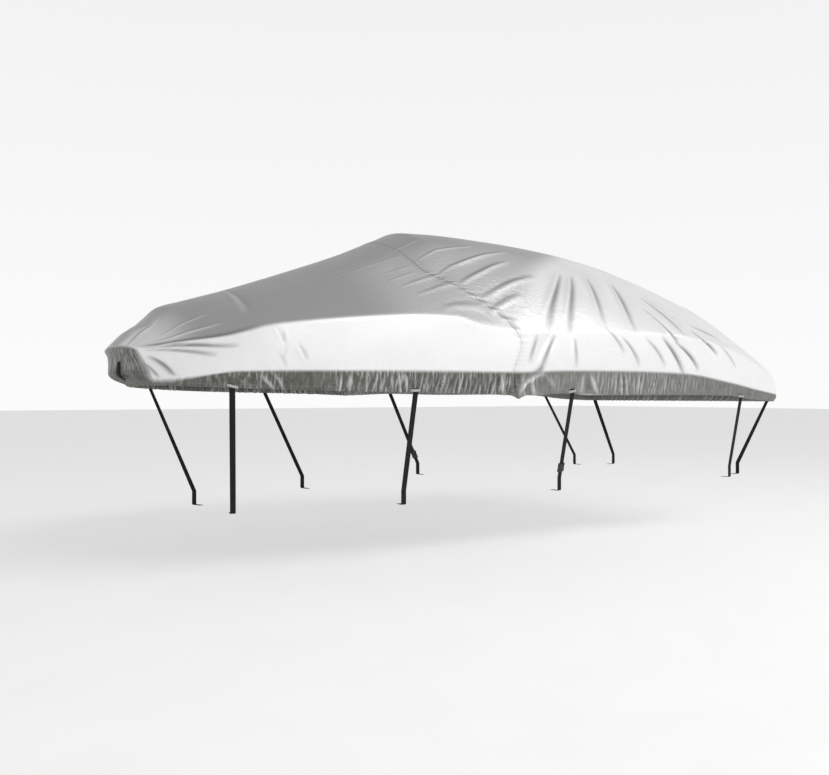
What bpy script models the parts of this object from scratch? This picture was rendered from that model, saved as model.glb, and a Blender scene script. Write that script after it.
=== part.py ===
"""Fitted cover for a runabout on its trailer: two sewn cloth panels, webbing tie-downs, loops and buckles.

Built in metres, +Z up, the bow towards -X and the port side towards -Y.
The boat and its trailer are not modelled. The origin is the underside of the cloth where it lies on the
top of the windscreen, which is what holds the cover up. Positions below are first given as
"aft" of the bow, "side" from the centreline (port is negative) and "up" from the ground.
"""

import math
from collections import namedtuple

import bmesh
import bpy
from mathutils import Vector

# Driving sizes
LENGTH = 4.555
CLOTH = 0.002
SEAM_GAP = 0.0004
HEM_TUCK = 0.022
BOW_BULGE = 0.030
BOW_CHIN = 0.015
BOW_RAKE = 0.080
BOW_UNDERCUT = 0.060
BOW_REACH = 0.36
STERN_BULGE = 0.025
STERN_RAKE = 0.030
CORNER_RADIUS = 0.07
RIDGE_ROUNDING = 0.11
MOUNT_AFT = 2.20
MOUNT_UP = 2.0595

# How finely the cloth is divided
FORE_STATIONS = 21
AFT_STATIONS = 24
HALF_ACROSS = 12
WALL_ROWS = (1.33, 1.67, 2.0, 2.5, 3.0)
STEP = 0.004

# One row per cross-section: distance aft of the bow, then half-widths and heights of the hem line,
# rub rail, gunwale edge, shoulder (half way up the cloth) and centre ridge.
Section = namedtuple("Section", "aft rail_half rail_up hem_up gun_half gun_up shoulder_half shoulder_up ridge_up")
SECTIONS = (
    Section(0.00, 0.265, 1.122, 1.055, 0.262, 1.250, 0.135, 1.268, 1.272),
    Section(0.06, 0.350, 1.118, 1.053, 0.340, 1.260, 0.175, 1.330, 1.355),
    Section(0.13, 0.425, 1.116, 1.051, 0.412, 1.271, 0.215, 1.360, 1.402),
    Section(0.21, 0.495, 1.114, 1.048, 0.480, 1.283, 0.250, 1.405, 1.490),
    Section(0.35, 0.600, 1.118, 1.042, 0.580, 1.305, 0.310, 1.440, 1.535),
    Section(0.60, 0.745, 1.122, 1.032, 0.715, 1.375, 0.395, 1.505, 1.610),
    Section(1.00, 0.885, 1.124, 1.022, 0.858, 1.420, 0.470, 1.610, 1.745),
    Section(1.40, 0.958, 1.125, 1.016, 0.930, 1.446, 0.500, 1.730, 1.890),
    Section(1.60, 0.982, 1.126, 1.012, 0.952, 1.440, 0.510, 1.790, 1.975),
    Section(1.74, 0.994, 1.127, 1.009, 0.964, 1.410, 0.522, 1.832, 2.035),
    Section(1.79, 0.997, 1.127, 1.008, 0.967, 1.398, 0.532, 1.842, 2.057),
    Section(2.04, 1.010, 1.130, 1.000, 0.979, 1.376, 0.590, 1.840, 2.062),
    Section(2.45, 1.023, 1.143, 1.012, 0.992, 1.392, 0.605, 1.818, 2.060),
    Section(2.95, 1.030, 1.146, 1.004, 0.998, 1.405, 0.590, 1.785, 2.040),
    Section(3.45, 1.030, 1.138, 1.006, 0.995, 1.400, 0.560, 1.725, 1.990),
    Section(3.95, 1.027, 1.080, 0.998, 0.990, 1.335, 0.550, 1.610, 1.895),
    Section(4.25, 1.018, 1.035, 0.970, 0.982, 1.245, 0.560, 1.510, 1.820),
    Section(4.555, 1.005, 0.995, 0.955, 0.970, 1.130, 0.580, 1.400, 1.735),
)

# The seam between the two panels: how far it lies from SEAM_AFT at each level down the cloth
# (level 0 ridge, 1 gunwale, 2 rub rail, 3 hem).
SEAM_AFT = 2.03
SEAM_REACH = 1.00
SeamPoint = namedtuple("SeamPoint", "level shift")
SEAM = (
    SeamPoint(0.00, -0.40),
    SeamPoint(0.60, -0.42),
    SeamPoint(0.75, -0.32),
    SeamPoint(0.85, -0.18),
    SeamPoint(1.00, 0.01),
    SeamPoint(1.25, 0.04),
    SeamPoint(2.00, -0.03),
    SeamPoint(3.00, 0.00),
)

# Length of cloth from the ridge down to each level, for the size of folds
Girth = namedtuple("Girth", "level length")
GIRTH = (Girth(0.0, 0.0), Girth(1.0, 1.15), Girth(2.0, 1.43), Girth(3.0, 1.56))

# The main folds: each is a soft trough (negative depth) or crest from one end to the other.
# side is -1 for port, 1 for starboard and 0 for both.
Fold = namedtuple("Fold", "side aft_a level_a aft_b level_b width depth")
FOLDS = (
    Fold(-1, 2.66, 0.50, 2.22, 1.00, 0.10, -0.014),
    Fold(-1, 2.78, 0.52, 2.38, 1.10, 0.09, -0.013),
    Fold(-1, 2.92, 0.50, 2.74, 1.00, 0.09, -0.012),
    Fold(-1, 3.17, 0.50, 3.00, 1.05, 0.09, -0.013),
    Fold(-1, 3.45, 0.50, 3.58, 1.05, 0.09, -0.014),
    Fold(-1, 3.26, 0.75, 3.60, 2.00, 0.07, -0.014),
    Fold(-1, 3.28, 1.05, 3.50, 2.00, 0.07, -0.012),
    Fold(-1, 3.55, 0.70, 4.02, 0.95, 0.08, -0.014),
    Fold(-1, 3.62, 0.90, 3.84, 1.40, 0.07, -0.012),
    Fold(-1, 2.04, 2.85, 2.30, 1.95, 0.06, -0.014),
    Fold(-1, 2.30, 1.05, 2.14, 1.95, 0.06, -0.012),
    Fold(-1, 1.33, 0.62, 1.72, 0.38, 0.08, -0.007),
    Fold(-1, 1.45, 0.88, 1.98, 0.48, 0.07, -0.008),
    Fold(-1, 1.70, 0.75, 2.25, 0.48, 0.07, -0.009),
    Fold(0, 0.58, 0.02, 0.50, 0.90, 0.09, -0.007),
    Fold(1, 2.70, 0.50, 2.30, 1.00, 0.10, -0.013),
    Fold(1, 2.98, 0.50, 2.82, 1.05, 0.10, -0.012),
    Fold(1, 3.40, 0.50, 3.55, 1.05, 0.10, -0.014),
    Fold(1, 3.30, 0.90, 3.55, 1.95, 0.08, -0.012),
    Fold(1, 3.60, 0.75, 4.00, 1.05, 0.09, -0.013),
    Fold(1, 2.05, 2.85, 2.34, 1.95, 0.06, -0.013),
    Fold(1, 1.50, 0.80, 2.05, 0.50, 0.08, -0.008),
)

# Gathers that the hem cord pulls into the band below the rub rail
HEM_GATHER = 0.006
HEM_GATHER_LENGTH = 0.31

# Straps: 32 mm webbing from the hem down the outside of the trailer rail and under it.
# Each row gives where the strap leaves the hem, and where its outer lower edge meets the rail.
STRAP_WIDTH = 0.032
STRAP_THICK = 0.002
STRAP_OFF_CLOTH = 0.0018
STRAP_HEM_LEVELS = (2.84, 2.92, 3.0)
HANG_SHARES = (0.03, 0.25, 0.5, 0.75)
RAIL_HEIGHT = 0.080
UNDER_RAIL = 0.060
RAIL_BEND = 0.008
Strap = namedtuple("Strap", "name hem_aft rail_aft rail_side rail_up rail_turn")
STRAPS = (
    Strap("1", 0.400, 0.550, 0.280, 0.339, 17.0),
    Strap("2", 1.335, 1.470, 0.620, 0.362, 8.0),
    Strap("3", 2.450, 2.555, 0.780, 0.396, 0.0),
    Strap("4", 4.090, 4.235, 0.800, 0.402, 0.0),
)
STERN_STRAP_ACROSS = 0.94
STERN_RAIL_SIDE = 0.640
STERN_RAIL_AFT = 4.545
STERN_RAIL_UP = 0.402

# Band of cloth sewn to the hem at both ends, which holds the top of a strap
LOOP_WIDTH = 0.060
LOOP_HEIGHT = 0.015
LOOP_THICK = 0.0015
LOOP_LAND = 0.008
LOOP_LEVEL = 2.91
LOOP_CLEAR = 0.0014
LOOP_OFF_CLOTH = 0.0022

# Buckle on the third strap: a sleeve that the webbing runs through
BUCKLE_STRAP = "3"
BUCKLE_WIDTH = 0.046
BUCKLE_HEIGHT = 0.060
BUCKLE_DEPTH = 0.014
BUCKLE_SLOT_WIDTH = 0.035
BUCKLE_SLOT_DEPTH = 0.0045
BUCKLE_ABOVE_RAIL = 0.045

# Webbing tab on the bow face
TAB_WIDTH = 0.036
TAB_ACROSS = -0.3333
TAB_END = 0.010
TAB_OFF_CLOTH = 0.0072
TAB_LEVELS = (1.67, 2.0, 2.5)


def clear_scene():
    for obj in list(bpy.data.objects):
        bpy.data.objects.remove(obj, do_unlink=True)


def make_material(name, colour, roughness, metallic=0.0):
    material = bpy.data.materials.new(name)
    material.use_nodes = True
    shader = material.node_tree.nodes["Principled BSDF"]
    shader.inputs["Base Color"].default_value = (*colour, 1.0)
    shader.inputs["Roughness"].default_value = roughness
    shader.inputs["Metallic"].default_value = metallic
    return material


def from_boat(aft, side, up):
    """Turns a place on the boat into a place in the cover's own frame."""
    return Vector((aft - MOUNT_AFT, side, up - MOUNT_UP))


def smooth_value(rows, key, field, at):
    """Reads one column of a table at any place, on a curve that never overshoots the rows."""
    places = [getattr(row, key) for row in rows]
    values = [getattr(row, field) for row in rows]
    if at <= places[0]:
        return values[0]
    if at >= places[-1]:
        return values[-1]
    index = max(i for i in range(len(places) - 1) if places[i] <= at)
    slopes = []
    for i in (index, index + 1):
        if i == 0 or i == len(places) - 1:
            j = min(i, len(places) - 2)
            slopes.append((values[j + 1] - values[j]) / (places[j + 1] - places[j]))
            continue
        before = (values[i] - values[i - 1]) / (places[i] - places[i - 1])
        after = (values[i + 1] - values[i]) / (places[i + 1] - places[i])
        slopes.append(2 * before * after / (before + after) if before * after > 0 else 0.0)
    span = places[index + 1] - places[index]
    t = (at - places[index]) / span
    low, high = values[index], values[index + 1]
    return (
        low * (1 + 2 * t) * (1 - t) ** 2
        + high * t * t * (3 - 2 * t)
        + span * slopes[0] * t * (1 - t) ** 2
        - span * slopes[1] * t * t * (1 - t)
    )


def section_at(aft):
    fields = Section._fields[1:]
    return Section(aft, *(smooth_value(SECTIONS, "aft", field, aft) for field in fields))


def corner_factor(aft):
    """Rounds the stern corners in plan."""
    past = max(0.0, aft - (LENGTH - CORNER_RADIUS)) / CORNER_RADIUS
    return 1.0 - CORNER_RADIUS * (1.0 - math.sqrt(max(0.0, 1.0 - past * past)))


def through_three(low, middle, high, t):
    """A parabola through its start, its middle and its end."""
    return low * (2 * t - 1) * (t - 1) + middle * 4 * t * (1 - t) + high * t * (2 * t - 1)


def top_point(aft, across):
    """The cloth above the gunwale: across is 0 on the ridge and -1 or 1 on the gunwale."""
    section = section_at(aft)
    share = abs(across)
    soft = math.sqrt(share * share + RIDGE_ROUNDING ** 2) - RIDGE_ROUNDING
    soft /= math.sqrt(1 + RIDGE_ROUNDING ** 2) - RIDGE_ROUNDING
    side = through_three(0.0, section.shoulder_half, section.gun_half, share) * corner_factor(aft)
    up = through_three(section.ridge_up, section.shoulder_up, section.gun_up, soft)
    return aft, math.copysign(side, across), up


def end_shift(aft, across, level):
    """How far the bow and stern faces stand out of, or lean back from, the end sections."""
    inner = 1 - across * across
    below = max(0.0, level - 1.0)
    if aft >= LENGTH:
        tuck = HEM_TUCK * max(0.0, level - 2.0) ** 2
        return STERN_BULGE * inner + STERN_RAKE * min(below, 1.0) - tuck
    if aft >= BOW_REACH:
        return 0.0
    fade = (1 - aft / BOW_REACH) ** 2
    rake = BOW_RAKE * min(below, 1.0) * fade
    if aft <= 0.0:
        rake = rake * (1 - inner) - BOW_BULGE * inner - BOW_CHIN * inner * min(below, 1.0)
        return rake + (BOW_UNDERCUT + BOW_RAKE * inner) * max(0.0, below - 1.0) ** 2
    return rake + BOW_UNDERCUT * max(0.0, below - 1.0) ** 2 * fade


def cloth_point(aft, across, level):
    """A point of the smooth cover, level 0 to 1 above the gunwale and 1 to 3 below it."""
    if level <= 1.0:
        place, side, up = top_point(aft, across)
        return from_boat(place + end_shift(aft, across, 1.0), side, up)
    section = section_at(aft)
    place, gun_side, gun_up = top_point(aft, across)
    rail_side = gun_side * section.rail_half / section.gun_half
    place += end_shift(aft, across, level)
    if level <= 2.0:
        t = level - 1.0
        side = gun_side + (rail_side - gun_side) * math.sin(t * math.pi / 2)
        return from_boat(place, side, gun_up + (section.rail_up - gun_up) * t)
    t = level - 2.0
    side = rail_side * (1 - HEM_TUCK * t * t / section.rail_half)
    return from_boat(place, side, section.rail_up + (section.hem_up - section.rail_up) * t)


def fold_depth(aft, across, level):
    """How far the folds push the cloth out (or in, when negative) at one place."""
    side = -1 if across < 0 else 1
    girth = smooth_value(GIRTH, "level", "length", level)
    depth = 0.0
    for fold in FOLDS:
        if fold.side not in (0, side):
            continue
        start = (fold.aft_a, smooth_value(GIRTH, "level", "length", fold.level_a))
        end = (fold.aft_b, smooth_value(GIRTH, "level", "length", fold.level_b))
        run = (end[0] - start[0], end[1] - start[1])
        length = math.hypot(*run)
        along = ((aft - start[0]) * run[0] + (girth - start[1]) * run[1]) / length ** 2
        if not 0.0 < along < 1.0:
            continue
        away = abs((aft - start[0]) * run[1] - (girth - start[1]) * run[0]) / length
        depth += fold.depth * math.sin(math.pi * along) * math.exp(-((away / fold.width) ** 2) * 2)
    if level > 2.0 and 0.0 < aft < LENGTH:
        wave = math.sin(2 * math.pi * aft / HEM_GATHER_LENGTH + side)
        depth += HEM_GATHER * (level - 2.0) * (3.0 - level) * 2 * wave
    return depth


def top_normal(aft, across):
    """The outward direction of the smooth cloth above the gunwale."""
    side = -1 if across < 0 else 1
    edge = abs(across)
    aft_of = cloth_point(min(LENGTH - STEP, aft + STEP), across, 0.0)
    ahead = cloth_point(max(STEP, aft - STEP), across, 0.0)
    high = cloth_point(aft, side * max(0.0, edge - STEP), 0.0)
    low = cloth_point(aft, side * min(1.0, edge + STEP), 0.0)
    return ((aft_of - ahead) * -side).cross(high - low).normalized()


def wall_normal(aft, across, level):
    """The outward direction of the smooth cloth below the gunwale."""
    high = cloth_point(aft, across, max(1.01, level - STEP))
    low = cloth_point(aft, across, min(3.0, level + STEP))
    if aft <= 0.0 or aft >= LENGTH:
        left = cloth_point(aft, max(-1.0, across - STEP), level)
        right = cloth_point(aft, min(1.0, across + STEP), level)
        along = (right - left) * (1 if aft >= LENGTH else -1)
    else:
        aft_of = cloth_point(min(LENGTH - STEP, aft + STEP), across, level)
        ahead = cloth_point(max(STEP, aft - STEP), across, level)
        along = (aft_of - ahead) * -across
    return along.cross(high - low).normalized()


def cloth_outward(aft, across, level):
    """The outward direction, mitred where the top turns over into the wall."""
    at_end = aft <= 0.0 or aft >= LENGTH
    if level > 1.0:
        wall = wall_normal(aft, across, level)
        if abs(across) < 1.0 or not at_end:
            return wall
        beside = abs(aft - 2 * STEP)
        return mitre(wall, wall_normal(beside, across, level))
    top = top_normal(aft, across)
    if abs(across) < 1.0 and not at_end:
        return top
    return mitre(top, wall_normal(aft, across, 1.05))


def mitre(one, other):
    """Half way between two directions, lengthened so that a sheet keeps its thickness."""
    middle = (one + other).normalized()
    return middle / max(0.6, middle.dot(one))


def seam_shift(aft, level):
    reach = max(0.0, 1 - abs(aft - SEAM_AFT) / SEAM_REACH)
    return smooth_value(SEAM, "level", "shift", level) * reach * reach * (3 - 2 * reach)


def spaced(start, end, count, ease):
    """Stations that lie closer together near one end."""
    return [start + (end - start) * (i / count) ** ease for i in range(count + 1)]


def surface_place(station, column, level):
    """Where one point of the cloth's grid lies, as aft, across and level."""
    across = column / HALF_ACROSS
    down = abs(across) if level <= 1.0 else level
    if station <= 0.0 or station >= LENGTH:
        return station, across, down
    return station + seam_shift(station, down), across, down


def grid_points(places):
    """The outer point and the outward direction at every place, with the folds."""
    points = []
    for aft, across, level in places:
        outward = cloth_outward(aft, across, level)
        points.append((cloth_point(aft, across, level) + outward * fold_depth(aft, across, level), outward))
    return points


def closed_sheet(name, points, quads, material):
    """A sheet of even thickness from its outer points and the quads between them."""
    count = len(points)
    verts = [point for point, _ in points] + [point - outward * CLOTH for point, outward in points]
    edges = {}
    faces = []
    for quad in quads:
        faces.append(quad)
        faces.append(tuple(count + i for i in reversed(quad)))
        for a, b in zip(quad, quad[1:] + quad[:1]):
            edges[(a, b)] = True
    for a, b in edges:
        if (b, a) not in edges:
            faces.append((b, a, a + count, b + count))
    return mesh_object(name, verts, faces, material)


def mesh_object(name, verts, faces, material):
    mesh = bpy.data.meshes.new(name)
    mesh.from_pydata([tuple(v) for v in verts], [], faces)
    work = bmesh.new()
    work.from_mesh(mesh)
    bmesh.ops.triangulate(work, faces=work.faces)
    work.to_mesh(mesh)
    work.free()
    mesh.shade_smooth()
    mesh.set_sharp_from_angle(angle=math.radians(50))
    mesh.materials.append(material)
    obj = bpy.data.objects.new(name, mesh)
    bpy.context.scene.collection.objects.link(obj)
    return obj


def panel(name, stations, end_is_bow, material):
    """One cloth panel: the top as a grid, and the wall hanging from three sides of it."""
    columns = range(-HALF_ACROSS, HALF_ACROSS + 1)
    places = []
    number = {}

    def add(key, station, column, level):
        number[key] = len(places)
        aft, across, down = surface_place(station, column, level)
        if station == SEAM_AFT:
            aft -= SEAM_GAP / 2 if end_is_bow else -SEAM_GAP / 2
        places.append((aft, across, down))

    for i, station in enumerate(stations):
        for column in columns:
            add(("top", i, column), station, column, 1.0)
    last = len(stations) - 1
    end = 0 if end_is_bow else last
    seam = last if end_is_bow else 0
    step = 1 if end > seam else -1
    port = [(i, -HALF_ACROSS) for i in range(seam, end + step, step)]
    across_end = [(end, column) for column in columns][1:-1]
    starboard = [(i, HALF_ACROSS) for i in range(end, seam - step, -step)]
    rim = port + across_end + starboard
    for i, column in rim:
        for row, level in enumerate(WALL_ROWS):
            add(("wall", i, column, row), stations[i], column, level)
    quads = []
    for i in range(last):
        for column in columns[:-1]:
            corners = ((i, column), (i + 1, column), (i + 1, column + 1), (i, column + 1))
            quads.append(tuple(number[("top", *corner)] for corner in corners))

    def wall_number(place, row):
        if row < 0:
            return number[("top", *place)]
        return number[("wall", *place, row)]

    for here, there in zip(rim, rim[1:]):
        for row in range(len(WALL_ROWS)):
            quad = (
                wall_number(here, row - 1),
                wall_number(here, row),
                wall_number(there, row),
                wall_number(there, row - 1),
            )
            quads.append(quad[::-1] if end_is_bow else quad)
    return closed_sheet(name, grid_points(places), quads, material)


def swept_strip(name, path, widths, width, thickness, material):
    """A flat strip along a path; widths gives the direction across it at each point."""
    verts = []
    for index, point in enumerate(path):
        before = path[max(0, index - 1)]
        after = path[min(len(path) - 1, index + 1)]
        along = (after - before).normalized()
        across = (widths[index] - along * widths[index].dot(along)).normalized() * width / 2
        up = along.cross(across).normalized() * thickness / 2
        verts += [point - across - up, point + across - up, point + across + up, point - across + up]
    faces = [(3, 2, 1, 0)]
    for ring in range(len(path) - 1):
        a = ring * 4
        for i in range(4):
            j = (i + 1) % 4
            faces.append((a + i, a + j, a + 4 + j, a + 4 + i))
    a = (len(path) - 1) * 4
    faces.append((a, a + 1, a + 2, a + 3))
    return mesh_object(name, verts, faces, material)


def hem_place(aft, across, level, off):
    """A point off the folded cloth near the hem, with its outward and its along-the-hem directions."""
    outward = wall_normal(aft, across, level)
    point = cloth_point(aft, across, level) + outward * (fold_depth(aft, across, level) + off)
    down = (cloth_point(aft, across, 3.0) - cloth_point(aft, across, 2.6)).normalized()
    return point, outward, outward.cross(down).normalized()


def strap_path(aft, across, rail_edge, rail_across):
    """From the hem to the rail's top outer edge, down its face and in underneath it."""
    off = STRAP_OFF_CLOTH + STRAP_THICK / 2
    on_hem = [hem_place(aft, across, level, off) for level in STRAP_HEM_LEVELS]
    start, outward, hem_across = on_hem[-1]
    inward = Vector((0, 0, 1)).cross(rail_across).normalized()
    if inward.dot(outward) > 0:
        inward = -inward
    if rail_across.dot(hem_across) < 0:
        rail_across = -rail_across
    half = STRAP_THICK / 2
    face_top = rail_edge + Vector((0, 0, RAIL_HEIGHT)) - inward * half
    face_low = rail_edge + Vector((0, 0, RAIL_BEND - half)) - inward * half
    points = [place for place, _, _ in on_hem]
    points += [start.lerp(face_top, share) for share in HANG_SHARES]
    points += [face_top, face_low]
    for turn in (30, 60, 90):
        angle = math.radians(turn)
        bend = Vector((0, 0, -RAIL_BEND * math.sin(angle)))
        points.append(face_low + inward * (RAIL_BEND * (1 - math.cos(angle))) + bend)
    points.append(points[-1] + inward * UNDER_RAIL)
    widths = []
    for index, point in enumerate(points):
        share = min(1.0, (start - point).length / (start - face_top).length)
        widths.append(hem_across if index < len(on_hem) else hem_across.lerp(rail_across, share))
    return points, widths


def strap_loop(name, aft, across, material):
    """The band over the top of a strap, sewn to the hem at both its ends."""
    over = STRAP_OFF_CLOTH + STRAP_THICK + LOOP_CLEAR + LOOP_THICK / 2
    on_cloth = LOOP_OFF_CLOTH + LOOP_THICK / 2
    centre, _, hem_across = hem_place(aft, across, LOOP_LEVEL, over)
    half_over = STRAP_WIDTH / 2 + LOOP_CLEAR
    path = [centre + hem_across * shift for shift in (-half_over, half_over)]
    for sign in (-1, 1):
        for reach in (LOOP_WIDTH / 2 - LOOP_LAND, LOOP_WIDTH / 2):
            path.append(hem_place(aft + sign * reach, across, LOOP_LEVEL, on_cloth)[0])
    path.sort(key=lambda point: (point - centre).dot(hem_across))
    down = hem_across.cross(hem_place(aft, across, LOOP_LEVEL, 0.0)[1])
    return swept_strip(name, path, [down] * len(path), LOOP_HEIGHT, LOOP_THICK, material)


def sleeve_buckle(name, low, high, across, material):
    """A flattened tube that the webbing runs through, from low to high."""
    along = (high - low).normalized()
    across = (across - along * across.dot(along)).normalized()
    out = along.cross(across)
    verts = []
    for end in (low, high):
        for width, depth in ((BUCKLE_WIDTH, BUCKLE_DEPTH), (BUCKLE_SLOT_WIDTH, BUCKLE_SLOT_DEPTH)):
            for a, b in ((-1, -1), (1, -1), (1, 1), (-1, 1)):
                verts.append(end + across * (a * width / 2) + out * (b * depth / 2))
    faces = []
    for i in range(4):
        j = (i + 1) % 4
        faces.append((i, j, 8 + j, 8 + i))
        faces.append((4 + j, 4 + i, 12 + i, 12 + j))
        faces.append((j, i, 4 + i, 4 + j))
        faces.append((8 + i, 8 + j, 12 + j, 12 + i))
    return mesh_object(name, verts, faces, material)


def bow_tab(name, material):
    """The webbing tab that lies down the middle of the bow face and over its lower edge."""
    path = []
    widths = []
    for level in TAB_LEVELS:
        place, _, across = hem_place(0.0, TAB_ACROSS, level, TAB_OFF_CLOTH)
        path.append(place)
        widths.append(across)
    path.append(path[-1] + (path[-1] - path[-2]).normalized() * TAB_END)
    widths.append(widths[-1])
    return swept_strip(name, path, widths, TAB_WIDTH, STRAP_THICK, material)


def fit_strap(label, side_name, side, row, webbing, cloth, plastic):
    """One strap of the sides with its loop, and its buckle where it has one."""
    turn = math.radians(row.rail_turn)
    rail_across = Vector((math.cos(turn), side * math.sin(turn), 0.0))
    rail_edge = from_boat(row.rail_aft, side * row.rail_side, row.rail_up)
    path, widths = strap_path(row.hem_aft, side, rail_edge, rail_across)
    swept_strip(f"strap_{side_name}_{label}", path, widths, STRAP_WIDTH, STRAP_THICK, webbing)
    strap_loop(f"loop_{side_name}_{label}", row.hem_aft, side, cloth)
    if row.name == BUCKLE_STRAP:
        top = path[len(STRAP_HEM_LEVELS) + len(HANG_SHARES)]
        upward = (path[len(STRAP_HEM_LEVELS) + len(HANG_SHARES) - 1] - top).normalized()
        low = top + upward * BUCKLE_ABOVE_RAIL
        across = widths[len(STRAP_HEM_LEVELS) + len(HANG_SHARES)]
        sleeve_buckle(f"buckle_{side_name}", low, low + upward * BUCKLE_HEIGHT, across, plastic)


def fit_stern_strap(side_name, side, webbing):
    """The strap from each stern corner down to the trailer's rear crossmember."""
    rail_edge = from_boat(STERN_RAIL_AFT, side * STERN_RAIL_SIDE, STERN_RAIL_UP)
    path, widths = strap_path(LENGTH, side * STERN_STRAP_ACROSS, rail_edge, Vector((0.0, 1.0, 0.0)))
    swept_strip(f"strap_{side_name}_stern", path, widths, STRAP_WIDTH, STRAP_THICK, webbing)


def build():
    clear_scene()
    cloth = make_material("silver_cloth", (0.62, 0.62, 0.62), 0.42, 0.25)
    webbing = make_material("black_webbing", (0.012, 0.012, 0.013), 0.75)
    plastic = make_material("black_plastic", (0.015, 0.015, 0.016), 0.45)
    fore = spaced(0.0, SEAM_AFT, FORE_STATIONS, 1.35)
    aft = [LENGTH - place for place in spaced(0.0, LENGTH - SEAM_AFT, AFT_STATIONS, 1.3)][::-1]
    fore[-1] = SEAM_AFT
    aft[0] = SEAM_AFT
    panel("cover_fore", fore, True, cloth)
    panel("cover_aft", aft, False, cloth)
    for side_name, side in (("port", -1), ("starboard", 1)):
        for row in STRAPS:
            fit_strap(row.name, side_name, side, row, webbing, cloth, plastic)
        fit_stern_strap(side_name, side, webbing)
    bow_tab("bow_tab", webbing)


build()
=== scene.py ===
"""Looks of a fitted runabout cover: two sewn panels of silver cloth, a gathered hem, webbing tie-downs.

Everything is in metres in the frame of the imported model: the bow towards -X, the port side towards -Y,
and the origin under the cloth on the top of the windscreen.
"""

import math
from collections import namedtuple

import bpy
import numpy as np
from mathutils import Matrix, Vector


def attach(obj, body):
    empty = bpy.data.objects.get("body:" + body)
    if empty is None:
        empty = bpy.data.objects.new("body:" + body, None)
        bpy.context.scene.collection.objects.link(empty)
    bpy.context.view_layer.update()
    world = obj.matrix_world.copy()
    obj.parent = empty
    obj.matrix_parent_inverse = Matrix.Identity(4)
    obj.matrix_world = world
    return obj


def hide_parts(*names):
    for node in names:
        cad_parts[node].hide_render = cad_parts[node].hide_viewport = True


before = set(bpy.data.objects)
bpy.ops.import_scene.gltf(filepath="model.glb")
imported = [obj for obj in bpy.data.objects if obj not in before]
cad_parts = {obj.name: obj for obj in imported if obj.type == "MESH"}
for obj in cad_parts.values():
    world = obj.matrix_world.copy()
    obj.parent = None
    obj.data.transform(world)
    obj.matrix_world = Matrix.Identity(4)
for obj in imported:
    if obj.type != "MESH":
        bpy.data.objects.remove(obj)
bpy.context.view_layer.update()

# ---
# Camera: standing off the port bow, a metre above the ground and so level with the hem.
# ---
GROUND_UP = -2.0595
CAMERA_PLACE = (-3.885, -5.254, -1.0595)
CAMERA_HEADING = 34.9
CAMERA_TILT = 0.45
CAMERA_LENS = 41.69

camera_data = bpy.data.cameras.new("camera")
camera_data.lens = CAMERA_LENS
camera_data.sensor_width = 36.0
camera_data.sensor_fit = "HORIZONTAL"
camera_data.clip_end = 200.0
camera = bpy.data.objects.new("camera", camera_data)
camera.location = CAMERA_PLACE
camera.rotation_euler = (math.radians(90 + CAMERA_TILT), 0.0, math.radians(-CAMERA_HEADING))
bpy.context.scene.collection.objects.link(camera)
bpy.context.scene.camera = camera
bpy.context.scene.view_settings.view_transform = "Standard"

# ---
# Forward panel: silver coated polyester over the bow, foredeck and windscreen. It is cut to the boat,
# drawn tight by the cord in its hem, and its hem is turned in and sewn. Its shape starts from the
# cross-sections of the boat, which the folds, creases and gathers then stand out of.
# ---
LENGTH = 4.555
MOUNT_AFT = 2.20
MOUNT_UP = 2.0595
HEM_TUCK = 0.022
BOW_BULGE = 0.030
BOW_CHIN = 0.015
BOW_RAKE = 0.080
BOW_UNDERCUT = 0.060
BOW_REACH = 0.36
STERN_BULGE = 0.025
STERN_RAKE = 0.030
BULGE_REACH = 0.10
CORNER_RADIUS = 0.07
RIDGE_ROUNDING = 0.11

# Distance aft of the bow, then half-widths and heights above the ground, from the rub rail to the
# shoulder (half way up the cloth) and the centre ridge. Of the hem and the ridge only the height.
Section = namedtuple(
    "Section", "aft rail_half rail_up hem_up gun_half gun_up shoulder_half shoulder_up ridge_up"
)
SECTIONS = (
    Section(0.00, 0.265, 1.122, 1.055, 0.262, 1.250, 0.135, 1.268, 1.272),
    Section(0.06, 0.350, 1.118, 1.053, 0.340, 1.260, 0.175, 1.330, 1.355),
    Section(0.13, 0.425, 1.116, 1.051, 0.412, 1.271, 0.215, 1.360, 1.402),
    Section(0.21, 0.495, 1.114, 1.048, 0.480, 1.283, 0.250, 1.405, 1.490),
    Section(0.35, 0.600, 1.118, 1.042, 0.580, 1.305, 0.310, 1.440, 1.535),
    Section(0.60, 0.745, 1.122, 1.032, 0.715, 1.375, 0.395, 1.505, 1.610),
    Section(1.00, 0.885, 1.124, 1.022, 0.858, 1.420, 0.470, 1.610, 1.745),
    Section(1.40, 0.958, 1.125, 1.016, 0.930, 1.446, 0.500, 1.730, 1.890),
    Section(1.60, 0.982, 1.126, 1.012, 0.952, 1.440, 0.510, 1.790, 1.975),
    Section(1.74, 0.994, 1.127, 1.009, 0.964, 1.410, 0.522, 1.832, 2.035),
    Section(1.79, 0.997, 1.127, 1.008, 0.967, 1.398, 0.532, 1.842, 2.057),
    Section(2.04, 1.010, 1.130, 1.000, 0.979, 1.376, 0.590, 1.840, 2.062),
    Section(2.45, 1.023, 1.143, 1.012, 0.992, 1.392, 0.605, 1.818, 2.060),
    Section(2.95, 1.030, 1.146, 1.004, 0.998, 1.405, 0.590, 1.785, 2.040),
    Section(3.45, 1.030, 1.138, 1.006, 0.995, 1.400, 0.560, 1.725, 1.990),
    Section(3.95, 1.027, 1.080, 0.998, 0.990, 1.335, 0.550, 1.610, 1.895),
    Section(4.25, 1.018, 1.035, 0.970, 0.982, 1.245, 0.560, 1.510, 1.820),
    Section(4.555, 1.005, 0.995, 0.955, 0.970, 1.130, 0.580, 1.400, 1.735),
)

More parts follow.
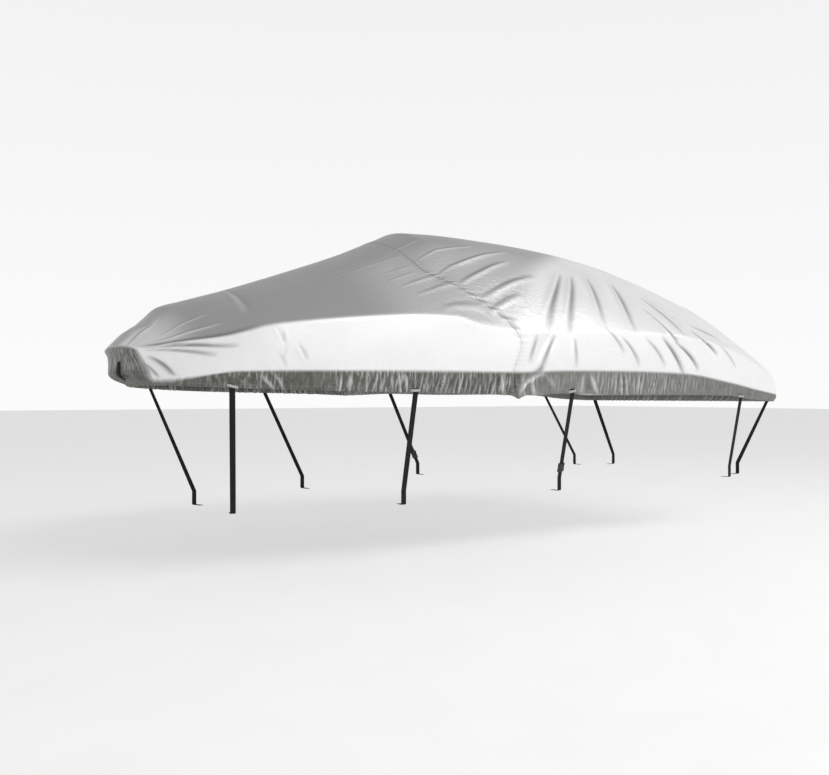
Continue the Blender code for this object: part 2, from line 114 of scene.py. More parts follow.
# The seam between the panels: how far it lies from SEAM_AFT at each level down the cloth
# (level 0 ridge, 1 gunwale, 2 rub rail, 3 hem).
SEAM_AFT = 2.03
SEAM_REACH = 1.00
SeamPoint = namedtuple("SeamPoint", "level shift")
SEAM = (
    SeamPoint(0.00, -0.40),
    SeamPoint(0.60, -0.42),
    SeamPoint(0.75, -0.32),
    SeamPoint(0.85, -0.18),
    SeamPoint(1.00, 0.01),
    SeamPoint(1.25, 0.04),
    SeamPoint(2.00, -0.03),
    SeamPoint(3.00, 0.00),
)
Girth = namedtuple("Girth", "level length")
GIRTH = (Girth(0.0, 0.0), Girth(1.0, 1.15), Girth(2.0, 1.43), Girth(3.0, 1.56))

# Broad folds, as soft troughs from one end to the other. side is -1 port, 1 starboard, 0 both.
Fold = namedtuple("Fold", "side aft_a level_a aft_b level_b width depth")
FOLDS = (
    Fold(-1, 2.66, 0.50, 2.22, 1.00, 0.10, -0.014),
    Fold(-1, 2.78, 0.52, 2.38, 1.10, 0.09, -0.013),
    Fold(-1, 2.92, 0.50, 2.74, 1.00, 0.09, -0.012),
    Fold(-1, 3.17, 0.50, 3.00, 1.05, 0.09, -0.013),
    Fold(-1, 3.45, 0.50, 3.58, 1.05, 0.09, -0.014),
    Fold(-1, 3.26, 0.75, 3.60, 2.00, 0.07, -0.014),
    Fold(-1, 3.28, 1.05, 3.50, 2.00, 0.07, -0.012),
    Fold(-1, 3.55, 0.70, 4.02, 0.95, 0.08, -0.014),
    Fold(-1, 3.62, 0.90, 3.84, 1.40, 0.07, -0.012),
    Fold(-1, 2.04, 2.85, 2.30, 1.95, 0.06, -0.014),
    Fold(-1, 2.30, 1.05, 2.14, 1.95, 0.06, -0.012),
    Fold(-1, 1.33, 0.62, 1.72, 0.38, 0.08, -0.007),
    Fold(-1, 1.45, 0.88, 1.98, 0.48, 0.07, -0.008),
    Fold(-1, 1.70, 0.75, 2.25, 0.48, 0.07, -0.009),
    Fold(0, 0.58, 0.02, 0.50, 0.90, 0.09, -0.007),
    Fold(1, 2.70, 0.50, 2.30, 1.00, 0.10, -0.013),
    Fold(1, 2.98, 0.50, 2.82, 1.05, 0.10, -0.012),
    Fold(1, 3.40, 0.50, 3.55, 1.05, 0.10, -0.014),
    Fold(1, 3.30, 0.90, 3.55, 1.95, 0.08, -0.012),
    Fold(1, 3.60, 0.75, 4.00, 1.05, 0.09, -0.013),
    Fold(1, 2.05, 2.85, 2.34, 1.95, 0.06, -0.013),
    Fold(1, 1.50, 0.80, 2.05, 0.50, 0.08, -0.008),
)

# Creases: a narrow ridge with a hollow close beside it, on the side of its line that lean says (1 is
# aft of one that runs down). bend is how far its middle bows off the straight line. The starboard
# side has the same ones, STARBOARD_SHIFT further aft.
Crease = namedtuple("Crease", "aft_a level_a aft_b level_b width height bend lean")
CREASES = (
    # windscreen corner
    Crease(1.02, 0.35, 1.24, 0.38, 0.009, 0.0024, 0.002, 1),
    Crease(1.09, 0.44, 1.58, 0.43, 0.009, 0.0036, 0.002, 1),
    Crease(1.51, 0.35, 1.78, 0.32, 0.009, 0.0036, 0.002, 1),
    Crease(1.35, 0.58, 1.57, 0.57, 0.009, 0.0034, 0.002, 1),
    Crease(1.34, 0.67, 1.55, 0.64, 0.009, 0.0034, 0.002, 1),
    Crease(1.60, 0.54, 2.08, 0.40, 0.010, 0.0062, 0.003, 1),
    Crease(1.38, 0.75, 1.69, 0.69, 0.010, 0.0046, 0.003, 1),
    Crease(1.66, 0.70, 2.36, 0.40, 0.011, 0.0074, 0.004, 1),
    Crease(1.44, 0.84, 1.78, 0.76, 0.010, 0.0046, 0.003, 1),
    Crease(1.76, 0.78, 2.26, 0.54, 0.012, 0.0076, 0.004, 1),
    Crease(1.86, 0.86, 2.40, 0.65, 0.013, 0.0070, 0.005, 1),
    Crease(1.88, 0.93, 2.18, 0.81, 0.012, 0.0056, 0.004, 1),
    Crease(1.54, 0.96, 1.86, 0.90, 0.011, 0.0040, 0.004, 1),
    # foredeck and side
    Crease(0.59, 0.02, 0.52, 0.70, 0.014, 0.0030, 0.010, 1),
    Crease(0.58, 1.03, 0.61, 1.40, 0.008, 0.0017, 0.003, 1),
    Crease(0.64, 1.16, 0.65, 1.44, 0.008, 0.0019, -0.003, -1),
    Crease(0.63, 1.44, 0.60, 1.72, 0.008, 0.0018, 0.002, 1),
    Crease(0.61, 1.60, 0.65, 1.88, 0.008, 0.0018, 0.003, -1),
    Crease(0.68, 1.46, 0.72, 1.84, 0.009, 0.0036, 0.003, 1),
    # bow, fanning from its corner
    Crease(0.00, 1.02, 0.52, 1.04, 0.015, 0.0095, 0.006, 1),
    Crease(0.01, 1.08, 0.42, 1.42, 0.014, 0.0075, 0.006, 1),
    Crease(0.02, 1.18, 0.32, 1.62, 0.013, 0.0065, 0.006, 1),
    Crease(0.01, 1.38, 0.10, 2.38, 0.013, 0.0080, 0.004, 1),
    Crease(0.01, 1.60, 0.06, 2.38, 0.011, 0.0065, 0.004, -1),
    Crease(0.03, 1.00, 0.30, 1.24, 0.011, 0.0050, 0.004, 1),
    Crease(0.01, 0.68, 0.16, 0.34, 0.013, 0.0075, 0.004, 1),
    Crease(0.00, 0.55, 0.10, 0.40, 0.011, 0.0050, 0.003, -1),
    Crease(0.08, 0.95, 0.39, 0.79, 0.013, 0.0055, 0.006, 1),
    Crease(0.12, 0.80, 0.36, 0.58, 0.012, 0.0040, 0.006, 1),
    Crease(0.00, 0.10, 0.09, 0.28, 0.014, 0.0036, 0.003, 1),
    # abaft the seam
    Crease(2.68, 0.54, 2.24, 0.97, 0.016, 0.0080, 0.020, 1),
    Crease(2.78, 0.54, 2.40, 1.02, 0.015, 0.0070, 0.020, 1),
    Crease(2.21, 1.08, 2.13, 1.84, 0.014, 0.0060, 0.006, -1),
    Crease(2.31, 1.06, 2.15, 1.94, 0.014, 0.0070, 0.010, 1),
    Crease(2.46, 1.16, 2.44, 1.92, 0.013, 0.0050, 0.006, 1),
    Crease(2.93, 0.53, 2.74, 0.93, 0.015, 0.0060, 0.014, 1),
    Crease(3.18, 0.53, 3.00, 0.97, 0.015, 0.0065, 0.014, 1),
    Crease(2.75, 0.98, 2.87, 1.64, 0.014, 0.0050, 0.008, 1),
    Crease(2.87, 1.16, 3.00, 1.94, 0.014, 0.0060, 0.008, 1),
    Crease(3.46, 0.58, 3.55, 0.98, 0.015, 0.0070, 0.010, -1),
    Crease(3.27, 0.78, 3.41, 1.27, 0.016, 0.0090, 0.010, 1),
    Crease(3.40, 1.22, 3.59, 1.98, 0.015, 0.0090, 0.010, 1),
    Crease(3.09, 1.16, 3.25, 1.94, 0.014, 0.0055, 0.008, 1),
    Crease(3.29, 1.06, 3.49, 1.98, 0.015, 0.0085, 0.010, -1),
    Crease(3.64, 0.92, 3.82, 1.38, 0.015, 0.0085, 0.008, 1),
    Crease(3.60, 0.79, 4.02, 0.91, 0.015, 0.0070, 0.010, 1),
    Crease(3.86, 1.00, 4.00, 1.60, 0.014, 0.0045, 0.008, 1),
    Crease(3.98, 0.42, 4.30, 0.62, 0.015, 0.0040, 0.012, 1),
    Crease(2.03, 2.85, 2.23, 2.02, 0.014, 0.0080, 0.010, 1),
    Crease(2.02, 2.90, 2.13, 2.30, 0.012, 0.0060, 0.006, -1),
)
STARBOARD_SHIFT = 0.055

# How strongly the hem cord gathers the band below the rub rail, along the boat
Gather = namedtuple("Gather", "aft share")
GATHERS = (
    Gather(0.00, 0.25),
    Gather(0.30, 0.35),
    Gather(0.52, 0.70),
    Gather(0.62, 0.65),
    Gather(0.71, 0.12),
    Gather(0.80, 0.20),
    Gather(0.90, 1.00),
    Gather(1.90, 1.00),
    Gather(2.30, 0.60),
    Gather(2.55, 0.95),
    Gather(3.45, 1.00),
    Gather(3.66, 0.35),
    Gather(4.20, 0.22),
    Gather(4.555, 0.20),
)
GATHER_SPACING = 0.054
GATHER_HEIGHT = 0.0118
END_GATHER_SPACING = 0.052
END_GATHER_HEIGHT = 0.006

STRAP_AFTS = (0.400, 1.335, 2.450, 4.090)
STRAP_CALM = 0.036
PUCKER_SPACING = 0.026
PUCKER_HEIGHT = 0.0048
PUCKER_REACH = 0.040
DRAPE_WAVE = 0.0022
KNOT_DROP = 0.016
KNOT_REACH = 0.032
HEM_ROPE = 0.0035
HEM_TURN = ((0.004, -0.003), (0.008, 0.005), (0.008, 0.030))
EDGE_SOFTENING = 3


def table_curve(rows, key, field, at):
    """One column of a table, read at many places on a curve that never overshoots its rows."""
    places = np.array([getattr(row, key) for row in rows])
    values = np.array([getattr(row, field) for row in rows])
    steps = np.diff(places)
    rises = np.diff(values) / steps
    before, after = rises[:-1], rises[1:]
    same_way = before * after > 0
    total = np.where(same_way, before + after, 1.0)
    middle = np.where(same_way, 2 * before * after / total, 0.0)
    slopes = np.concatenate([rises[:1], middle, rises[-1:]])
    at = np.clip(at, places[0], places[-1])
    low = np.clip(np.searchsorted(places, at, side="right") - 1, 0, len(steps) - 1)
    t = (at - places[low]) / steps[low]
    return (
        values[low] * (1 + 2 * t) * (1 - t) ** 2
        + values[low + 1] * t * t * (3 - 2 * t)
        + steps[low] * slopes[low] * t * (1 - t) ** 2
        - steps[low] * slopes[low + 1] * t * t * (1 - t)
    )


def smoothstep(low, high, at):
    t = np.clip((at - low) / (high - low), 0.0, 1.0)
    return t * t * (3 - 2 * t)


def seam_shift(aft, level):
    reach = np.maximum(0.0, 1 - np.abs(aft - SEAM_AFT) / SEAM_REACH)
    return table_curve(SEAM, "level", "shift", level) * reach * reach * (3 - 2 * reach)


def smooth_cover(aft, across, level):
    """The cover without its folds: across runs -1 to 1 over the top, level 1 to 3 down the wall."""
    size = {field: table_curve(SECTIONS, "aft", field, aft) for field in Section._fields[1:]}
    share = np.abs(across)
    past = np.maximum(0.0, aft - (LENGTH - CORNER_RADIUS)) / CORNER_RADIUS
    corner = 1.0 - CORNER_RADIUS * (1.0 - np.sqrt(np.maximum(0.0, 1.0 - past * past)))
    soft = np.sqrt(share * share + RIDGE_ROUNDING**2) - RIDGE_ROUNDING
    soft /= math.sqrt(1 + RIDGE_ROUNDING**2) - RIDGE_ROUNDING
    side = size["shoulder_half"] * 4 * share * (1 - share) + size["gun_half"] * share * (2 * share - 1)
    side = side * corner * np.sign(across)
    up = (
        size["ridge_up"] * (2 * soft - 1) * (soft - 1)
        + size["shoulder_up"] * 4 * soft * (1 - soft)
        + size["gun_up"] * soft * (2 * soft - 1)
    )
    # the wall below the gunwale
    rail_side = side * size["rail_half"] / size["gun_half"]
    below = np.clip(level - 1.0, 0.0, 2.0)
    first = np.minimum(below, 1.0)
    tuck = np.maximum(0.0, below - 1.0)
    wall_side = side + (rail_side - side) * np.sin(first * math.pi / 2)
    wall_side = wall_side * (1 - HEM_TUCK * tuck * tuck / size["rail_half"])
    wall_up = up + (size["rail_up"] - up) * first + (size["hem_up"] - size["rail_up"]) * tuck
    # how far the bow and the stern stand out of their end sections
    inner = 1 - across * across
    fade = np.maximum(0.0, 1 - aft / BOW_REACH) ** 2
    bow_bulge = -BOW_BULGE * inner * np.maximum(0.0, 1 - aft / BULGE_REACH) ** 2
    at_bow = np.where(aft <= 0.0, inner, 0.0)
    bow = bow_bulge + BOW_RAKE * first * fade * (1 - at_bow) - BOW_CHIN * at_bow * first
    bow = bow + (BOW_UNDERCUT * fade + BOW_RAKE * at_bow) * tuck**2
    stern_bulge = STERN_BULGE * inner * np.maximum(0.0, 1 - (LENGTH - aft) / BULGE_REACH) ** 2
    stern = stern_bulge + np.where(aft >= LENGTH, STERN_RAKE * first - HEM_TUCK * tuck**2, 0.0)
    place = aft + bow + stern - MOUNT_AFT
    return np.column_stack([place, wall_side, wall_up - MOUNT_UP])


def line_distance(aft, girth, row, shift, bend=0.0):
    """Share along a fold, and the signed distance from it, on the cloth laid flat."""
    ends = table_curve(GIRTH, "level", "length", np.array([row.level_a, row.level_b]))
    start = np.array([row.aft_a + shift, ends[0]])
    run = np.array([row.aft_b + shift, ends[1]]) - start
    length = math.hypot(run[0], run[1])
    along = ((aft - start[0]) * run[0] + (girth - start[1]) * run[1]) / length**2
    away = ((aft - start[0]) * run[1] - (girth - start[1]) * run[0]) / length
    inside = np.clip(along, 0.0, 1.0)
    return inside, away - bend * np.sin(math.pi * inside)


def uneven(at, seed):
    """A slow wander between -1 and 1 that never repeats along the cloth."""
    return (np.sin(at * 7.3 + seed) + np.sin(at * 17.9 + 2.3 * seed) + np.sin(at * 41.7 + 4.1 * seed)) / 3


def sharp_wave(phase):
    """Narrow crests with wide hollows between them."""
    return ((0.5 + 0.5 * np.sin(phase)) ** 1.5) * 1.5 - 0.65


def cloth_relief(aft, across, level, on_end):
    """How far the cloth stands out of the smooth cover, and where its ridges and hollows are, as masks for
    painted highlights and painted shade.
    """
    girth = table_curve(GIRTH, "level", "length", level)
    port = across < 0
    side = np.where(port, -1.0, 1.0)
    relief, crests, hollows = (np.zeros(len(aft)) for _ in range(3))
    for fold in FOLDS:
        along, away = line_distance(aft, girth, fold, 0.0)
        depth = fold.depth * np.sin(math.pi * along) * np.exp(-((away / fold.width) ** 2) * 2)
        relief += np.where((fold.side == 0) | (side == fold.side), depth, 0.0)
    for crease in CREASES:
        for where, shift in ((port, 0.0), (~port, STARBOARD_SHIFT)):
            along, away = line_distance(aft[where], girth[where], crease, shift, crease.bend)
            taper = np.sin(math.pi * along) ** 0.6
            wide = crease.width * (0.8 + 0.5 * along)
            ridge = np.exp(-((away / wide) ** 2))
            hollow = np.exp(-(((away - crease.lean * 1.7 * wide) / wide) ** 2))
            relief[where] += crease.height * taper * (ridge - 0.8 * hollow)
            # mask for a painted highlight along the crease ridge
            crests[where] += crease.height / CREASE_FULL * taper * ridge
            # mask for painted shade in the hollow beside the crease
            hollows[where] += crease.height / CREASE_FULL * taper * hollow
    # the hem cord's gathers, flat under each strap, and the puckers along the seam
    warped = aft + 0.016 * uneven(aft, 1.0 + side) + 0.07 * (level - 2.5) * uneven(0.45 * aft, 3.0)
    band = smoothstep(1.80, 2.55, level) * (1 - 0.35 * smoothstep(2.75, 3.0, level))
    phase = 2 * math.pi * warped / (GATHER_SPACING * (1 + 0.10 * np.sin(aft * 3.1 + side)))
    share = table_curve(GATHERS, "aft", "share", aft) * (0.75 + 0.45 * uneven(aft, 5.0))
    for strap_aft in STRAP_AFTS:
        share = share * (1 - 0.9 * np.exp(-(((aft - strap_aft) / STRAP_CALM) ** 2)))
    wave = 0.75 * sharp_wave(phase) + 0.55 * sharp_wave(1.31 * phase + 1.2 * uneven(aft, 7.0))
    sides = GATHER_HEIGHT * share * band * wave
    half = np.abs(across)
    reach = across * table_curve(SECTIONS, "aft", "gun_half", aft)
    end_phase = 2 * math.pi * (reach + 0.014 * uneven(reach, 2.0)) / END_GATHER_SPACING
    ends = END_GATHER_HEIGHT * band * sharp_wave(end_phase) * (1 - half**6)
    relief += np.where(on_end, ends, sides)
    from_seam = aft - SEAM_AFT - seam_shift(np.full(len(aft), SEAM_AFT), level)
    pucker = sharp_wave(2 * math.pi * (girth + 0.008 * uneven(girth * 2.0, 4.0)) / PUCKER_SPACING)
    strength = smoothstep(0.30, 0.62, level) * (1 - 0.55 * smoothstep(1.0, 1.3, level))
    relief += PUCKER_HEIGHT * strength * pucker * np.exp(-((from_seam / PUCKER_REACH) ** 2))
    # slow swells between the folds, and the rope in the hem
    swell = np.sin(aft * 9.1 + 3.0 * girth + side) * np.sin(girth * 8.3 - 2.0 * aft + 1.3 * side)
    relief += DRAPE_WAVE * swell * smoothstep(0.15, 0.5, level) * (1 - smoothstep(1.4, 1.9, level))
    relief += HEM_ROPE * smoothstep(2.84, 2.93, level)
    # mask for painted shade between the puckers along the seam
    hollows += 0.5 * strength * np.clip(-pucker, 0, 1) * np.exp(-((from_seam / PUCKER_REACH) ** 2))
    # the gathers as a mask for painted highlights on their crests
    gathered = np.where(on_end, ends / END_GATHER_HEIGHT, sides / GATHER_HEIGHT)
    marks = {"gathered": gathered, "crests": np.clip(crests, 0, 1), "hollows": np.clip(hollows, 0, 1)}
    return relief, marks


def grid_squares(grid):
    """The squares between neighbouring points of a grid."""
    return np.stack([grid[:-1, :-1], grid[:-1, 1:], grid[1:, 1:], grid[1:, :-1]], axis=-1).reshape(-1, 4)


def lay_panel(stations, acrosses, levels, bow_end):
    """Every point's place on the cover, and the squares between: a top, and a wall down three sides of it."""
    rows, columns = len(stations), len(acrosses)
    top = np.arange(rows * columns).reshape(rows, columns)
    aft = np.repeat(stations, columns)
    across = np.tile(acrosses, rows)
    from_seam = top[::-1] if bow_end else top
    rim = np.concatenate([from_seam[:, 0], from_seam[-1, 1:-1], from_seam[::-1, -1]])
    wall = top.size + np.arange(len(rim) * len(levels)).reshape(len(rim), len(levels))
    station = np.concatenate([aft, np.repeat(aft[rim], len(levels))])
    across = np.concatenate([across, np.repeat(across[rim], len(levels))])
    level = np.concatenate([np.abs(across[: top.size]), np.tile(levels, len(rim))])
    wall = np.column_stack([rim, wall])
    top_squares = np.stack([top[:-1, :-1], top[1:, :-1], top[1:, 1:], top[:-1, 1:]], axis=-1).reshape(-1, 4)
    down = grid_squares(wall)
    squares = np.concatenate([top_squares, down[:, ::-1] if bow_end else down])
    return station, across, level, squares, wall


def soften(points, squares, held, rounds):
    """Rounds the turned edges of a surface, as cloth does over a hard edge."""
    edges = np.concatenate([squares[:, [0, 1]], squares[:, [1, 2]], squares[:, [2, 3]], squares[:, [3, 0]]])
    count = np.bincount(edges[:, 0], minlength=len(points)) + np.bincount(edges[:, 1], minlength=len(points))
    for _ in range(rounds):
        total = np.zeros_like(points)
        for axis in range(3):
            total[:, axis] += np.bincount(edges[:, 0], points[edges[:, 1], axis], len(points))
            total[:, axis] += np.bincount(edges[:, 1], points[edges[:, 0], axis], len(points))
        moved = points + 0.5 * (total / count[:, None] - points)
        points = np.where(held[:, None], points, moved)
    return points


def outward_of(points, squares):
    """The outward direction at every point."""
    a, b, c, d = (points[squares[:, i]] for i in range(4))
    face = np.cross(c - a, d - b)
    total = np.zeros_like(points)
    for corner in range(4):
        for axis in range(3):
            total[:, axis] += np.bincount(squares[:, corner], face[:, axis], len(points))
    return total / np.maximum(np.linalg.norm(total, axis=1), 1e-12)[:, None]


def mesh_piece(name, points, faces, material, flat_map=None, tones=None):
    """A piece from its points and faces, with its flat pattern in metres and any tones for its material,
    painted shade and highlights among them.
    """
    mesh = bpy.data.meshes.new(name)
    mesh.from_pydata(np.asarray(points).tolist(), [], np.asarray(faces).tolist())
    mesh.shade_smooth()
    if flat_map is not None:
        corners = np.empty(len(mesh.loops), dtype=np.int32)
        mesh.loops.foreach_get("vertex_index", corners)
        layer = mesh.uv_layers.new(name="pattern")
        layer.data.foreach_set("uv", np.asarray(flat_map, dtype=np.float32)[corners].ravel())
    for tone, values in (tones or {}).items():
        mesh.attributes.new(tone, "FLOAT", "POINT").data.foreach_set("value", values.astype(np.float32))
    mesh.materials.append(material)
    mesh.validate()
    piece = bpy.data.objects.new(name, mesh)
    bpy.context.scene.collection.objects.link(piece)
    return piece


def new_material(name, roughness, metallic=0.0):
    """An empty finish to fill with nodes: its tree, its shader, and a function that adds a node to it."""
    material = bpy.data.materials.new(name)
    material.use_nodes = True
    tree = material.node_tree
    shader = tree.nodes["Principled BSDF"]
    shader.inputs["Roughness"].default_value = roughness
    shader.inputs["Metallic"].default_value = metallic

    def add(kind, inputs=(), **values):
        node = tree.nodes.new(kind)
        for key, value in values.items():
            if key in node.inputs:
                node.inputs[key].default_value = value
            else:
                setattr(node, key, value)
        for key, source in inputs:
            if isinstance(source, bpy.types.NodeSocket):
                tree.links.new(source, node.inputs[key])
            else:
                node.inputs[key].default_value = source
        return node

    return material, tree, shader, add


def blend(add, share, first, second):
    """Two colours mixed by a share."""
    return add("ShaderNodeMix", [("Factor", share), (6, first), (7, second)], data_type="RGBA").outputs[2]


def combine(add, operation, first, second):
    """One value worked out from two."""
    return add("ShaderNodeMath", [(0, first), (1, second)], operation=operation).outputs[0]


def woven_bump(add, tree, shader, pattern, thread, depth, wrinkles):
    """Crossing threads as bump, on top of the wrinkles."""
    scale = 1.0 / (thread * 20)
    warp = add("ShaderNodeTexWave", [("Vector", pattern)], Scale=scale * 2 * math.pi, bands_direction="X")
    weft = add("ShaderNodeTexWave", [("Vector", pattern)], Scale=scale * 2 * math.pi, bands_direction="Y")
    cross = combine(add, "MULTIPLY", warp.outputs["Fac"], weft.outputs["Fac"])
    weave = add("ShaderNodeBump", [("Height", cross), ("Normal", wrinkles)], Strength=0.35, Distance=depth)
    tree.links.new(weave.outputs["Normal"], shader.inputs["Normal"])


CREASE_FULL = 0.008
# Where the painted shade of the deck fades out aft, at each level down the cloth.
DeckShadeEdge = namedtuple("DeckShadeEdge", "level aft")
DECK_SHADE_EDGES = (
    DeckShadeEdge(0.0, 3.25),
    DeckShadeEdge(0.2, 3.09),
    DeckShadeEdge(0.6, 2.49),
    DeckShadeEdge(0.8, 2.30),
    DeckShadeEdge(0.9, 2.22),
    DeckShadeEdge(1.0, 2.14),
)
CLOTH_SILVER = (0.90, 0.90, 0.90, 1.0)
CLOTH_SHADE = (0.78, 0.785, 0.79, 1.0)
# Painted shade: the grey of the deck, for the same silver cloth turned away from the light.
PAINTED_SHADE_DECK = (0.40, 0.40, 0.402, 1.0)
# Painted shade: the olive of the hem band below the rub rail and of the bow face, which face down or away
# from the light.
PAINTED_SHADE_OLIVE = (0.046, 0.045, 0.029, 1.0)
# Painted shade in the hollows beside the creases and between the puckers of the seam.
PAINTED_SHADE_HOLLOW = (0.26, 0.262, 0.265, 1.0)
CLOTH_THREAD = 0.0011


def silver_cloth():
    """Aluminium coated polyester: satin, crinkled where it is drawn, with painted tones: painted shade greys
    it on the deck and turns it olive low down and on the bow face, painted shade lies in its hollows, and
    painted highlights lie on the pleats of its hem.
    """
    material, tree, shader, add = new_material("silver_cloth", 0.42, 0.35)
    spot = add("ShaderNodeTexCoord").outputs["Object"]
    pattern = add("ShaderNodeUVMap", uv_map="pattern").outputs["UV"]
    mottle = add("ShaderNodeTexNoise", [("Vector", spot)], Scale=5.0, Detail=6.0, Roughness=0.6)
    silver = blend(add, mottle.outputs["Fac"], CLOTH_SILVER, CLOTH_SHADE)
    # painted shade that greys the deck
    deck = add("ShaderNodeAttribute", attribute_name="deck")
    deck_shaded = blend(add, deck.outputs["Fac"], silver, PAINTED_SHADE_DECK)
    # painted shade on the hem band and the bow face, a little lighter at random in blotches
    low_shade = add("ShaderNodeAttribute", attribute_name="shade")
    blotch = add("ShaderNodeTexNoise", [("Vector", spot)], Scale=26.0, Detail=5.0, Roughness=0.65)
    patch_range = [("Value", blotch.outputs["Fac"]), ("From Min", 0.3), ("From Max", 0.7), ("To Min", 0.9)]
    patchy = add("ShaderNodeMapRange", patch_range)
    amount = combine(add, "MULTIPLY", low_shade.outputs["Fac"], patchy.outputs[0])
    # painted highlights for the close pleats of the gathered hem, which are not modelled: paler than the
    # cloth between them
    drawn = add("ShaderNodeAttribute", attribute_name="crinkle")
    pleated = add("ShaderNodeMapping", [("Vector", pattern)], Scale=(1.0, 0.12, 1.0))
    pleats = add("ShaderNodeTexNoise", [("Vector", pleated.outputs[0])], Scale=70.0, Detail=2.5)
    pale_range = [("Value", pleats.outputs["Fac"]), ("From Min", 0.49), ("From Max", 0.68), ("To Max", 0.58)]
    pale = add("ShaderNodeMapRange", pale_range)
    pleat_highlights = combine(add, "MULTIPLY", pale.outputs[0], drawn.outputs["Fac"])
    shade_between_pleats = combine(add, "MULTIPLY", amount, combine(add, "SUBTRACT", 1.0, pleat_highlights))
    tone = blend(add, shade_between_pleats, deck_shaded, PAINTED_SHADE_OLIVE)
    # painted shade in the hollows beside the creases and between the puckers of the seam
    hollow = add("ShaderNodeAttribute", attribute_name="hollow")
    hollow_shaded = blend(add, hollow.outputs["Fac"], tone, PAINTED_SHADE_HOLLOW)
    tree.links.new(hollow_shaded, shader.inputs["Base Color"])
    gloss = add("ShaderNodeMapRange", [("Value", mottle.outputs["Fac"]), ("To Min", 0.34), ("To Max", 0.50)])
    tree.links.new(gloss.outputs[0], shader.inputs["Roughness"])
    slant = {"Scale": (1.0, 2.3, 1.0), "Rotation": (0.0, 0.0, 0.5)}
    stretched = add("ShaderNodeMapping", [("Vector", pattern)], **slant).outputs[0]
    crinkle = add("ShaderNodeTexNoise", [("Vector", stretched)], Scale=24.0, Detail=5.0, Distortion=0.8)
    height = combine(add, "MULTIPLY", crinkle.outputs["Fac"], drawn.outputs["Fac"])
    wrinkles = add("ShaderNodeBump", [("Height", height)], Strength=0.55, Distance=0.010)
    woven_bump(add, tree, shader, pattern, CLOTH_THREAD, 0.0003, wrinkles.outputs["Normal"])
    return material


def cloth_tones(aft, across, level, on_end, marks):
    """Painted tones: painted shade low down on the hem band and the bow face, lifted by painted highlights on
    the crests; how crinkled the cloth is; painted shade that greys its deck, lifted by painted sheen at the
    bow and on the windscreen; and painted shade in its hollows.
    """
    # Painted shade on the hem band, reaching higher and softer towards the bow and a little weaker abaft the
    # seam, and on the bow face, fading near its corners. The crests of the gathers and creases lift it as a
    # painted highlight.
    bow_corner = 1 - smoothstep(0.02, 0.42, aft)
    edge = 1.94 + 0.42 * bow_corner
    shade = smoothstep(0.0, 1.0, (level - edge) / (0.09 + 0.5 * bow_corner))
    shade = shade * np.where(aft < SEAM_AFT, 0.97, 0.88)
    shade = shade - 0.50 * smoothstep(0.0, 0.85, marks["gathered"]) * (level > 1.9)
    bow_face = np.where(on_end & (aft <= 0.0), smoothstep(0.98, 1.10, level) * 0.95, 0.0)
    bow_face = bow_face * (1 - 0.45 * smoothstep(0.90, 1.0, np.abs(across)))
    shade = np.clip(np.maximum(shade, bow_face) - 0.5 * marks["crests"], 0.0, 1.0)
    windscreen = smoothstep(1.05, 1.45, aft) * (1 - smoothstep(2.2, 2.8, aft))
    crinkle = 0.12 + 0.75 * windscreen * smoothstep(0.25, 0.6, level) * (1 - smoothstep(0.9, 1.15, level))
    crinkle += 0.40 * (1 - smoothstep(0.05, 0.35, aft))
    crinkle += 0.30 * smoothstep(2.3, 2.7, aft) * smoothstep(0.3, 0.6, level)
    drawn_in = table_curve(GATHERS, "aft", "share", aft) * np.where(aft < SEAM_AFT, 0.80, 0.50)
    band = smoothstep(1.88, 2.02, level)
    crinkle = crinkle * (1 - band) + drawn_in * band
    # Painted shade that greys the deck. Painted highlights on the crease crests and painted sheen at the bow
    # and on the windscreen take it off again, and a little more painted shade runs along the ridge.
    far = table_curve(DECK_SHADE_EDGES, "level", "aft", level)
    deck = (1 - smoothstep(far - 0.26, far + 0.06, aft)) * (1 - smoothstep(0.97, 1.02, level))
    bow_sheen = (1 - smoothstep(0.06, 0.30, aft)) * smoothstep(0.15, 0.5, level)
    glass_sheen = 0.32 * windscreen * smoothstep(0.30, 0.55, level)
    deck = deck * (1 - 0.95 * marks["crests"]) * (1 - 0.85 * bow_sheen) * (1 - glass_sheen)
    deck = deck + 0.04 * (1 - smoothstep(0.0, 0.35, level))
    return {
        "shade": shade,
        "crinkle": np.clip(crinkle, 0.0, 1.0),
        "deck": np.clip(deck, 0.0, 1.0),
        "hollow": marks["hollows"],
    }


silver_material = silver_cloth()
ACROSSES = np.concatenate([np.linspace(0.0, 0.30, 15), np.linspace(0.30, 1.0, 87)[1:]])
ACROSSES = np.concatenate([-ACROSSES[:0:-1], ACROSSES])
LEVELS = np.concatenate([np.linspace(1.0, 2.0, 21)[1:], np.linspace(2.0, 3.0, 21)[1:]])
LAP = 0.016
LAP_RISE = 0.0020


